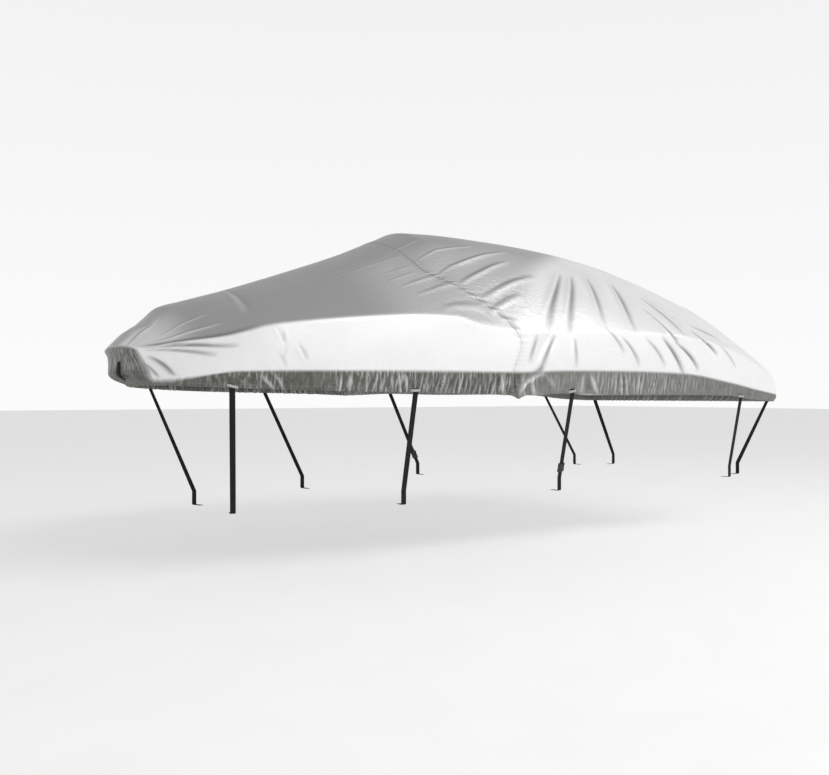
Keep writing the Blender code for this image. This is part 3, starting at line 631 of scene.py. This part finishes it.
def cloth_panel(name, stations, bow_end):
    """One panel with its relief and its turned hem, and the lines on it that the stitching follows."""
    station, across, level, squares, wall = lay_panel(stations, ACROSSES, LEVELS, bow_end)
    on_end = (level > 1.0) & ((station <= 0.0) | (station >= LENGTH))
    aft = station + seam_shift(station, level)
    held = np.zeros(len(aft), dtype=bool)
    held[wall[:, -1]] = True
    held[station == (stations[-1] if bow_end else stations[0])] = True
    points = soften(smooth_cover(aft, across, level), squares, held, EDGE_SOFTENING)
    outward = outward_of(points, squares)
    relief, marks = cloth_relief(aft, across, level, on_end)
    if not bow_end:
        rise = LAP_RISE * (0.4 + 0.6 * smoothstep(0.3, 0.6, level))
        relief += rise * (1 - smoothstep(SEAM_AFT + 0.004, SEAM_AFT + 0.020, station))
    points = points + outward * relief[:, None]
    knot = np.exp(-(((aft - SEAM_AFT) / KNOT_REACH) ** 2)) * smoothstep(2.5, 3.0, level) * (across < 0)
    points[:, 2] -= KNOT_DROP * knot
    points += outward * (0.6 * KNOT_DROP * knot)[:, None]
    outward = outward_of(points, squares)
    # the hem turned in
    edge, above = wall[:, -1], wall[:, -6]
    upward = points[above] - points[edge]
    upward /= np.linalg.norm(upward, axis=1)[:, None]
    layers = [edge]
    girth = table_curve(GIRTH, "level", "length", level)
    reach = across * table_curve(SECTIONS, "aft", "gun_half", aft)
    flat_down = np.where(on_end, girth, np.sign(across) * girth)
    flat_map = np.column_stack([np.where(on_end, reach, aft), flat_down])
    tones = cloth_tones(aft, across, level, on_end, marks)
    all_points, all_map = [points], [flat_map]
    for number, (inward, rise) in enumerate(HEM_TURN):
        all_points.append(points[edge] - outward[edge] * inward + upward * rise)
        all_map.append(flat_map[edge] + (0.0, 0.01 * (number + 1)))
        layers.append(len(points) + number * len(edge) + np.arange(len(edge)))
    turn = np.column_stack(layers)
    turned = grid_squares(turn)
    squares = np.concatenate([squares, turned[:, ::-1] if bow_end else turned])
    turns = len(HEM_TURN)
    tones = {tone: np.concatenate([values] + [values[edge]] * turns) for tone, values in tones.items()}
    piece = mesh_piece(
        name, np.concatenate(all_points), squares, silver_material, np.concatenate(all_map), tones
    )
    return piece, points, outward, wall


fore_stations = np.linspace(0.0, SEAM_AFT, 271)
fore_panel, *fore_cloth = cloth_panel("fore_panel", fore_stations, True)
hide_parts("cover_fore")
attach(fore_panel, "root")

# ---
# After panel: the same cloth from the windscreen to the transom. It laps over the forward panel at
# the seam, and hangs looser, in long folds that run down and aft from the support pole.
# ---
aft_stations = np.concatenate([[SEAM_AFT - LAP, SEAM_AFT - LAP / 2], np.linspace(SEAM_AFT, LENGTH, 289)])
aft_panel, *aft_cloth = cloth_panel("aft_panel", aft_stations, False)
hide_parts("cover_aft")
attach(aft_panel, "root")

# ---
# Stitching: grey polyester thread, two rows through the lap of the seam and one row that holds the
# turned hem. Each stitch is a small lens of thread that lies on the cloth.
# ---
STITCH_LENGTH = 0.0046
STITCH_PITCH = 0.0066
STITCH_HALF_WIDTH = 0.0006
STITCH_HEIGHT = 0.0006
HEM_STITCH_ROW = -5
THREAD_GREY = (0.66, 0.66, 0.66)


def plain_thread(name, colour, roughness):
    """Twisted thread: one colour, a little uneven, with the twist as bump."""
    material, tree, shader, add = new_material(name, roughness)
    spot = add("ShaderNodeTexCoord").outputs["Object"]
    uneven_tone = add("ShaderNodeTexNoise", [("Vector", spot)], Scale=180.0, Detail=3.0)
    dark = (*(0.75 * part for part in colour), 1.0)
    pale = (*(min(1.0, 1.2 * part) for part in colour), 1.0)
    tree.links.new(blend(add, uneven_tone.outputs["Fac"], dark, pale), shader.inputs["Base Color"])
    lay = {"Scale": 90.0, "Distortion": 1.0, "bands_direction": "DIAGONAL"}
    twist = add("ShaderNodeTexWave", [("Vector", spot)], **lay)
    bump = add("ShaderNodeBump", [("Height", twist.outputs["Fac"])], Strength=0.4, Distance=0.0004)
    tree.links.new(bump.outputs["Normal"], shader.inputs["Normal"])
    return material


def stitch_row(points, outward):
    """Stitches along a line on the cloth, as points and triangles."""
    steps = np.linalg.norm(np.diff(points, axis=0), axis=1)
    run = np.concatenate([[0.0], np.cumsum(steps)])
    centres = np.arange(STITCH_PITCH, run[-1] - STITCH_PITCH, STITCH_PITCH)

    def along_line(values, at):
        return np.column_stack([np.interp(at, run, values[:, axis]) for axis in range(3)])

    middle = along_line(points, centres)
    ahead = along_line(points, centres + STITCH_LENGTH / 2)
    ahead = ahead - along_line(points, centres - STITCH_LENGTH / 2)
    ahead /= np.linalg.norm(ahead, axis=1)[:, None]
    up = along_line(outward, centres)
    up /= np.linalg.norm(up, axis=1)[:, None]
    beside = np.cross(up, ahead) * STITCH_HALF_WIDTH
    ahead = ahead * STITCH_LENGTH / 2
    middle = middle + up * STITCH_HEIGHT / 2
    up = up * STITCH_HEIGHT
    offsets = (ahead, beside, -ahead, -beside, up, -up)
    corners = np.stack([middle + offset for offset in offsets], axis=1)
    lens = [(0, 1, 4), (1, 2, 4), (2, 3, 4), (3, 0, 4), (1, 0, 5), (2, 1, 5), (3, 2, 5), (0, 3, 5)]
    faces = np.array(lens)[None, :, :] + 6 * np.arange(len(centres))[:, None, None]
    return corners.reshape(-1, 3), faces.reshape(-1, 3)


def stitching(name, lines, material):
    """Several rows of stitches as one piece."""
    points, faces, count = [], [], 0
    for line, outward in lines:
        row_points, row_faces = stitch_row(line, outward)
        points.append(row_points)
        faces.append(row_faces + count)
        count += len(row_points)
    piece = mesh_piece(name, np.concatenate(points), np.concatenate(faces), material)
    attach(piece, "root")
    return piece


thread_material = plain_thread("grey_thread", THREAD_GREY, 0.55)
COLUMNS = len(ACROSSES)
aft_points, aft_outward, aft_wall = aft_cloth
seam_lines = []
for station_number in (1, 2):
    over_top = station_number * COLUMNS + np.arange(COLUMNS)
    port_wall = aft_wall[station_number, :0:-1]
    starboard_wall = aft_wall[-1 - station_number, 1:]
    line = np.concatenate([port_wall, over_top, starboard_wall])
    seam_lines.append((aft_points[line], aft_outward[line]))
stitching("seam_stitching", seam_lines, thread_material)
hem_lines = []
for points, outward, wall in (fore_cloth, aft_cloth):
    line = wall[3:-3, HEM_STITCH_ROW]
    hem_lines.append((points[line], outward[line]))
stitching("hem_stitching", hem_lines, thread_material)

# ---
# Straps: 32 mm black polypropylene webbing, sewn to the hem and drawn tight down to the trailer rails.
# Each runs down the outer face of a rail that isn't here, and turns in 60 mm under it.
# ---
STRAP_WIDTH = 0.032
STRAP_THICK = 0.002
STRAP_OFF_CLOTH = 0.0018
STRAP_HEM_LEVELS = (2.80, 2.85, 2.90, 2.95, 3.0)
HANG_STEPS = 26
RAIL_HEIGHT = 0.080
UNDER_RAIL = 0.060
RAIL_BEND = 0.008
STERN_STRAP_ACROSS = 0.94
STRAP_COLUMNS = 9
STRAP_CROWN = 0.0003
WEBBING_RIB = 0.0016
WEBBING_CROSS_RIB = 0.004
Strap = namedtuple("Strap", "name hem_aft rail_aft rail_side rail_up rail_turn")
STRAPS = (
    Strap("1", 0.400, 0.550, 0.280, 0.339, 17.0),
    Strap("2", 1.335, 1.470, 0.620, 0.362, 8.0),
    Strap("3", 2.450, 2.555, 0.780, 0.396, 0.0),
    Strap("4", 4.090, 4.235, 0.800, 0.402, 0.0),
    Strap("stern", LENGTH, 4.545, 0.640, 0.402, 90.0),
)
WEBBING_BLACK = (0.006, 0.006, 0.007, 1.0)
WEBBING_WORN = (0.020, 0.020, 0.022, 1.0)


def black_webbing():
    """Ribbed black webbing: slanted ribs over fine cross ribs, paler on their worn tops."""
    material, tree, shader, add = new_material("black_webbing", 0.62)
    shader.inputs["Specular IOR Level"].default_value = 0.2
    pattern = add("ShaderNodeUVMap", uv_map="pattern").outputs["UV"]
    turned = add("ShaderNodeMapping", [("Vector", pattern)], Rotation=(0.0, 0.0, math.radians(38)))
    across_ribs = [("Vector", turned.outputs[0])]
    ribs = add("ShaderNodeTexWave", across_ribs, Scale=0.31 / WEBBING_RIB, bands_direction="X")
    along_ribs = [("Vector", pattern)]
    cross = add("ShaderNodeTexWave", along_ribs, Scale=0.31 / WEBBING_CROSS_RIB, bands_direction="X")
    worn = add("ShaderNodeTexNoise", [("Vector", pattern)], Scale=60.0, Detail=5.0)
    height = combine(add, "MULTIPLY", ribs.outputs["Fac"], worn.outputs["Fac"])
    tree.links.new(blend(add, height, WEBBING_BLACK, WEBBING_WORN), shader.inputs["Base Color"])
    relief = combine(add, "ADD", ribs.outputs["Fac"], cross.outputs["Fac"])
    bump = add("ShaderNodeBump", [("Height", relief)], Strength=0.7, Distance=0.0005)
    tree.links.new(bump.outputs["Normal"], shader.inputs["Normal"])
    return material


def hem_spot(aft, across, level):
    """A point of the finished cloth's wall and its outward direction, on the nearest line of its mesh."""
    fore = aft < SEAM_AFT
    points, outward, wall = fore_cloth if fore else aft_cloth
    stations = fore_stations if fore else aft_stations
    if 0.0 < aft < LENGTH:
        nearest = int(np.argmin(np.abs(stations - aft)))
        place = len(stations) - 1 - nearest if fore else nearest
        if across > 0:
            place = wall.shape[0] - 1 - place
    else:
        place = len(stations) - 1 + int(np.argmin(np.abs(ACROSSES - across)))
    rows = np.concatenate([[1.0], LEVELS])
    line = wall[place]
    point = np.array([np.interp(level, rows, points[line, axis]) for axis in range(3)])
    normal = outward[line[int(np.argmin(np.abs(rows - level)))]]
    return Vector(point), Vector(normal)


def flat_strip(name, route, across_at, width, thick, material, crown=0.0):
    """A closed flat strip with rounded edges along a route; width may differ from point to point."""
    widths = [width] * len(route) if isinstance(width, float) else width
    shares = np.sin(np.linspace(-math.pi / 2, math.pi / 2, STRAP_COLUMNS))
    points, pattern, run = [], [], 0.0
    for number, spot in enumerate(route):
        before, after = route[max(0, number - 1)], route[min(len(route) - 1, number + 1)]
        along = (after - before).normalized()
        across = (across_at[number] - along * across_at[number].dot(along)).normalized()
        up = along.cross(across)
        run += (spot - before).length
        for face in (1, -1):
            for share in shares[::face]:
                round_edge = math.sqrt(max(0.0, 1 - abs(share) ** 6))
                rise = face * thick / 2 * (0.35 + 0.65 * round_edge) + crown * (1 - share * share)
                points.append(spot + across * (share * widths[number] / 2) + up * rise)
                pattern.append((share * widths[number] / 2, run))
    ring = 2 * STRAP_COLUMNS
    faces = []
    for number in range(len(route) - 1):
        start = number * ring
        for i in range(ring):
            j = (i + 1) % ring
            faces.append((start + i, start + j, start + ring + j, start + ring + i))
    last = (len(route) - 1) * ring
    for i in range(STRAP_COLUMNS - 1):
        faces.append((ring - 1 - i, ring - 2 - i, i + 1, i))
        faces.append((last + i, last + i + 1, last + ring - 2 - i, last + ring - 1 - i))
    return mesh_piece(name, points, faces, material, pattern)


def strap_route(row, side):
    """From the hem to the rail's top outer edge, down its face and in underneath it."""
    stern = row.name == "stern"
    across = side * (STERN_STRAP_ACROSS if stern else 1.0)
    off = STRAP_OFF_CLOTH + STRAP_THICK / 2
    spots = [hem_spot(row.hem_aft, across, level) for level in STRAP_HEM_LEVELS]
    outward = spots[-1][1]
    route = [point + normal * off for point, normal in spots]
    start = route[-1]
    hem_across = outward.cross((route[-1] - route[0]).normalized()).normalized()
    turn = math.radians(row.rail_turn)
    rail_across = Vector((0.0, 1.0, 0.0)) if stern else Vector((math.cos(turn), side * math.sin(turn), 0.0))
    if rail_across.dot(hem_across) < 0:
        rail_across = -rail_across
    inward = Vector((0, 0, 1)).cross(rail_across).normalized()
    if inward.dot(outward) > 0:
        inward = -inward
    edge = Vector((row.rail_aft - MOUNT_AFT, side * row.rail_side, row.rail_up - MOUNT_UP))
    half = STRAP_THICK / 2
    face_top = edge + Vector((0, 0, RAIL_HEIGHT)) - inward * half
    face_low = edge + Vector((0, 0, RAIL_BEND - half)) - inward * half
    route += [start.lerp(face_top, step / HANG_STEPS) for step in range(1, HANG_STEPS)]
    route += [face_top, face_top.lerp(face_low, 0.5), face_low]
    for turned in (22.5, 45, 67.5, 90):
        angle = math.radians(turned)
        drop = Vector((0, 0, RAIL_BEND * math.sin(angle)))
        route.append(face_low + inward * (RAIL_BEND * (1 - math.cos(angle))) - drop)
    under = route[-1]
    route += [under + inward * (UNDER_RAIL * share) for share in (0.33, 0.67, 1.0)]
    across_at = []
    for number, point in enumerate(route):
        share = min(1.0, (start - point).length / (start - face_top).length)
        on_hem = number < len(STRAP_HEM_LEVELS)
        across_at.append(hem_across if on_hem else hem_across.lerp(rail_across, share))
    return route, across_at


webbing_material = black_webbing()
SIDES = (("port", -1), ("starboard", 1))
strap_routes = {}
for side_name, side in SIDES:
    for row in STRAPS:
        route, across_at = strap_route(row, side)
        strap_routes[side_name, row.name] = route, across_at
        name = f"webbing_{side_name}_{row.name}"
        strap = flat_strip(name, route, across_at, STRAP_WIDTH, STRAP_THICK, webbing_material, STRAP_CROWN)
        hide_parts(f"strap_{side_name}_{row.name}")
        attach(strap, "root")

# ---
# Strap loops: a 15 mm band of the cover's own cloth over the top of each side strap, sewn to the hem
# at both ends with a bar of close stitches.
# ---
LOOP_HALF = 0.030
LOOP_HEIGHT = 0.015
LOOP_THICK = 0.0012
LOOP_LEVEL = 2.91
LOOP_OVER = STRAP_OFF_CLOTH + STRAP_THICK + 0.0022
LOOP_ON_CLOTH = 0.0016
LOOP_STEPS = 25
# The bands take the cloth's painted tones: painted shade at 0.55 from the shade tone, and none of the deck's
# painted grey or the hollows' painted shade.
LOOP_TONES = (("shade", 0.55), ("crinkle", 0.3), ("deck", 0.0), ("hollow", 0.0))
TACK_POINTS = 9

tack_lines = []
for side_name, side in SIDES:
    for row in STRAPS[:-1]:
        centre, outward = hem_spot(row.hem_aft, side, LOOP_LEVEL)
        top, _ = hem_spot(row.hem_aft, side, LOOP_LEVEL - 0.2)
        down = (centre - top).normalized()
        beside = outward.cross(down).normalized()
        route = []
        for share in np.linspace(-1.0, 1.0, LOOP_STEPS):
            ahead = beside.x * share * LOOP_HALF
            on_cloth, normal = hem_spot(row.hem_aft + ahead, side, LOOP_LEVEL)
            over = 1 - float(smoothstep(0.56, 0.74, abs(share)))
            flat = centre + beside * (share * LOOP_HALF) + outward * (LOOP_OVER + LOOP_THICK / 2)
            laid = centre + beside * (share * LOOP_HALF)
            laid += outward * ((on_cloth - laid).dot(outward) + LOOP_ON_CLOTH)
            route.append(laid.lerp(flat, over))
        name = f"band_{side_name}_{row.name}"
        loop = flat_strip(name, route, [down] * LOOP_STEPS, LOOP_HEIGHT, LOOP_THICK, silver_material)
        for tone, value in LOOP_TONES:
            layer = loop.data.attributes.new(tone, "FLOAT", "POINT")
            layer.data.foreach_set("value", np.full(len(loop.data.vertices), value, dtype=np.float32))
        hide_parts(f"loop_{side_name}_{row.name}")
        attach(loop, "root")
        for end in (2, LOOP_STEPS - 3):
            start = route[end] + outward * LOOP_THICK
            bar = [start + down * (LOOP_HEIGHT * share) for share in np.linspace(-0.46, 0.46, TACK_POINTS)]
            bar_outward = np.array([list(outward)] * TACK_POINTS)
            tack_lines.append((np.array([list(point) for point in bar]), bar_outward))
stitching("loop_tacks", tack_lines, thread_material)

# ---
# Buckles: a moulded black cam buckle on the third strap of each side, which the webbing runs through.
# A rounded sleeve with a ribbed lever on its outer face.
# ---
BUCKLE_WIDTH = 0.046
BUCKLE_HEIGHT = 0.060
BUCKLE_DEPTH = 0.014
BUCKLE_SLOT = (0.0352, 0.0045)
BUCKLE_ABOVE_RAIL = 0.045
BUCKLE_LIP = 0.0025
BUCKLE_CORNER = 0.004
LEVER_HALF = 0.0165
LEVER_EDGE = 0.0015
LEVER_RIBS = 5
PLASTIC_BLACK = (0.014, 0.014, 0.015, 1.0)
PLASTIC_SCUFFED = (0.055, 0.055, 0.058, 1.0)


def moulded_plastic():
    """Black nylon with the fine grain of its mould and a few pale scuffs."""
    material, tree, shader, add = new_material("black_plastic", 0.45)
    spot = add("ShaderNodeTexCoord").outputs["Object"]
    grain = add("ShaderNodeTexNoise", [("Vector", spot)], Scale=900.0, Detail=2.0)
    scuffs = add("ShaderNodeTexNoise", [("Vector", spot)], Scale=70.0, Detail=6.0, Roughness=0.7)
    scuff_range = [("Value", scuffs.outputs["Fac"]), ("From Min", 0.55), ("From Max", 0.80)]
    worn = add("ShaderNodeMapRange", scuff_range).outputs[0]
    tree.links.new(blend(add, worn, PLASTIC_BLACK, PLASTIC_SCUFFED), shader.inputs["Base Color"])
    bump = add("ShaderNodeBump", [("Height", grain.outputs["Fac"])], Strength=0.25, Distance=0.0002)
    tree.links.new(bump.outputs["Normal"], shader.inputs["Normal"])
    return material


def rounded_ring(width, depth, radius, steps):
    """A rounded rectangle, as pairs, anticlockwise."""
    ring = []
    for quarter, (sx, sy) in enumerate(((1, 1), (-1, 1), (-1, -1), (1, -1))):
        for step in range(steps + 1):
            angle = math.pi / 2 * (quarter + step / steps)
            x = sx * (width / 2 - radius) + radius * math.cos(angle)
            y = sy * (depth / 2 - radius) + radius * math.sin(angle)
            ring.append((x, y))
    return ring


def cam_buckle(name, low, up, across, material):
    """The sleeve, as rings from its slot out round its lip and back in, and its lever."""
    out = up.cross(across).normalized()
    layers = []
    lip = BUCKLE_LIP
    slot_width, slot_depth = BUCKLE_SLOT
    stations = (
        (0.0, slot_width, slot_depth, 0.002),
        (0.0, BUCKLE_WIDTH - 2 * lip, BUCKLE_DEPTH - 2 * lip, 0.003),
        (0.3 * lip, BUCKLE_WIDTH - 0.6 * lip, BUCKLE_DEPTH - 0.6 * lip, 0.0035),
        (lip, BUCKLE_WIDTH, BUCKLE_DEPTH, BUCKLE_CORNER),
        (0.35 * BUCKLE_HEIGHT, BUCKLE_WIDTH, BUCKLE_DEPTH, BUCKLE_CORNER),
        (0.50 * BUCKLE_HEIGHT, BUCKLE_WIDTH - 0.004, BUCKLE_DEPTH, BUCKLE_CORNER),
        (0.65 * BUCKLE_HEIGHT, BUCKLE_WIDTH, BUCKLE_DEPTH, BUCKLE_CORNER),
        (BUCKLE_HEIGHT - lip, BUCKLE_WIDTH, BUCKLE_DEPTH, BUCKLE_CORNER),
        (BUCKLE_HEIGHT - 0.3 * lip, BUCKLE_WIDTH - 0.6 * lip, BUCKLE_DEPTH - 0.6 * lip, 0.0035),
        (BUCKLE_HEIGHT, BUCKLE_WIDTH - 2 * lip, BUCKLE_DEPTH - 2 * lip, 0.003),
        (BUCKLE_HEIGHT, slot_width, slot_depth, 0.002),
    )
    points = []
    for height, width, depth, radius in stations:
        layers.append(len(points))
        for x, y in rounded_ring(width, depth, radius, 4):
            points.append(low + up * height + across * x + out * y)
    count = len(points) // len(stations)
    faces = []
    for number in range(len(stations)):
        here, there = layers[number], layers[(number + 1) % len(stations)]
        for i in range(count):
            j = (i + 1) % count
            faces.append((here + i, here + j, there + j, there + i))
    # the lever's ribbed plate stands a little off the outer face
    profile = [(0.14, 0.0), (0.16, 0.0012)]
    for rib in range(LEVER_RIBS):
        at = 0.20 + 0.055 * rib
        profile += [(at, 0.0012), (at + 0.012, 0.0022), (at + 0.030, 0.0022), (at + 0.042, 0.0012)]
    profile += [(0.60, 0.0014), (0.80, 0.0016), (0.84, 0.0012), (0.85, 0.0)]
    face_up = BUCKLE_DEPTH / 2 - 0.0004
    start = len(points)
    for share, rise in profile:
        for x in (-LEVER_HALF, LEVER_EDGE - LEVER_HALF, LEVER_HALF - LEVER_EDGE, LEVER_HALF):
            raised = face_up + (rise if abs(x) < LEVER_HALF else 0.0)
            points.append(low + up * (share * BUCKLE_HEIGHT) + across * x + out * raised)
    for number in range(len(profile) - 1):
        for i in range(3):
            a = start + number * 4 + i
            faces.append((a, a + 1, a + 5, a + 4))
    return mesh_piece(name, points, faces, material)


plastic_material = moulded_plastic()
for side_name, side in SIDES:
    route, across_at = strap_routes[side_name, "3"]
    top = len(STRAP_HEM_LEVELS) + HANG_STEPS - 1
    up = (route[top - 1] - route[top]).normalized()
    across = across_at[top - 2]
    across = (across - up * across.dot(up)).normalized()
    if up.cross(across).y * side < 0:
        across = -across
    low = route[top] + up * BUCKLE_ABOVE_RAIL
    buckle = cam_buckle(f"cam_buckle_{side_name}", low, up, across, plastic_material)
    buckle.data.set_sharp_from_angle(angle=math.radians(40))
    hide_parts(f"buckle_{side_name}")
    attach(buckle, "root")

# ---
# Bow tab: a doubled end of webbing on the bow face, a third of the way from its middle to its port
# edge, narrow at its top and spreading down over the hem.
# ---
TAB_ACROSS = -0.3333
TAB_LEVELS = (1.62, 1.74, 1.86, 2.0, 2.15, 2.3, 2.42, 2.5)
TAB_WIDTHS = (0.022, 0.028, 0.032, 0.035, 0.037, 0.038, 0.038, 0.037, 0.034)
TAB_END = 0.010
TAB_OFF_CLOTH = 0.0042
TAB_THICK = 0.0036
TAB_CROWN = 0.0012

route, across_at = [], []
for level in TAB_LEVELS:
    spot, outward = hem_spot(0.0, TAB_ACROSS, level)
    route.append(spot + outward * TAB_OFF_CLOTH)
    across_at.append(outward.cross(Vector((0, 0, -1))).normalized())
route.append(route[-1] + (route[-1] - route[-2]).normalized() * TAB_END)
across_at.append(across_at[-1])
tab = flat_strip("webbing_tab", route, across_at, list(TAB_WIDTHS), TAB_THICK, webbing_material, TAB_CROWN)
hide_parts("bow_tab")
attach(tab, "root")

# ---
# Studio: a pale floor, a pale room that is dimmer overhead, and one long soft box off the port side.
# ---
floor_material, tree, shader, add = new_material("floor", 0.9)
grain = add("ShaderNodeTexNoise", [("Vector", add("ShaderNodeTexCoord").outputs["Object"])], Scale=3.0)
tint = blend(add, grain.outputs["Fac"], (0.70, 0.70, 0.695, 1.0), (0.74, 0.74, 0.735, 1.0))
tree.links.new(tint, shader.inputs["Base Color"])
tree.links.new(tint, shader.inputs["Emission Color"])
shader.inputs["Emission Strength"].default_value = 0.45
FLOOR_HALF = 60.0
floor_signs = ((-1, -1), (1, -1), (1, 1), (-1, 1))
floor_corners = [(x * FLOOR_HALF, y * FLOOR_HALF, GROUND_UP) for x, y in floor_signs]
floor = mesh_piece("floor", floor_corners, [(0, 1, 2, 3)], floor_material)

world = bpy.data.worlds.new("studio")
world.use_nodes = True
bpy.context.scene.world = world
sky_tree = world.node_tree
sky = sky_tree.nodes["Background"]
direction = sky_tree.nodes.new("ShaderNodeTexCoord")
split = sky_tree.nodes.new("ShaderNodeSeparateXYZ")
ramp = sky_tree.nodes.new("ShaderNodeValToRGB")
sky_tree.links.new(direction.outputs["Generated"], split.inputs[0])
sky_tree.links.new(split.outputs["Z"], ramp.inputs["Fac"])
sky_tree.links.new(ramp.outputs["Color"], sky.inputs["Color"])
stops = ramp.color_ramp.elements
stops[0].position, stops[0].color = 0.0, (0.97, 0.97, 0.97, 1.0)
stops[1].position, stops[1].color = 0.62, (0.40, 0.40, 0.405, 1.0)
stops.new(0.42).color = (0.88, 0.88, 0.885, 1.0)
sky.inputs["Strength"].default_value = 1.0

KEY_PLACE = Vector((2.0, -7.0, 5.2))
KEY_AIM = Vector((0.2, 0.0, -0.6))
key_light = bpy.data.lights.new("key", "AREA")
key_light.shape = "RECTANGLE"
key_light.size = 10.0
key_light.size_y = 2.0
key_light.energy = 400.0
key = bpy.data.objects.new("key", key_light)
key.location = KEY_PLACE
key.rotation_euler = (KEY_AIM - KEY_PLACE).to_track_quat("-Z", "Y").to_euler()
bpy.context.scene.collection.objects.link(key)
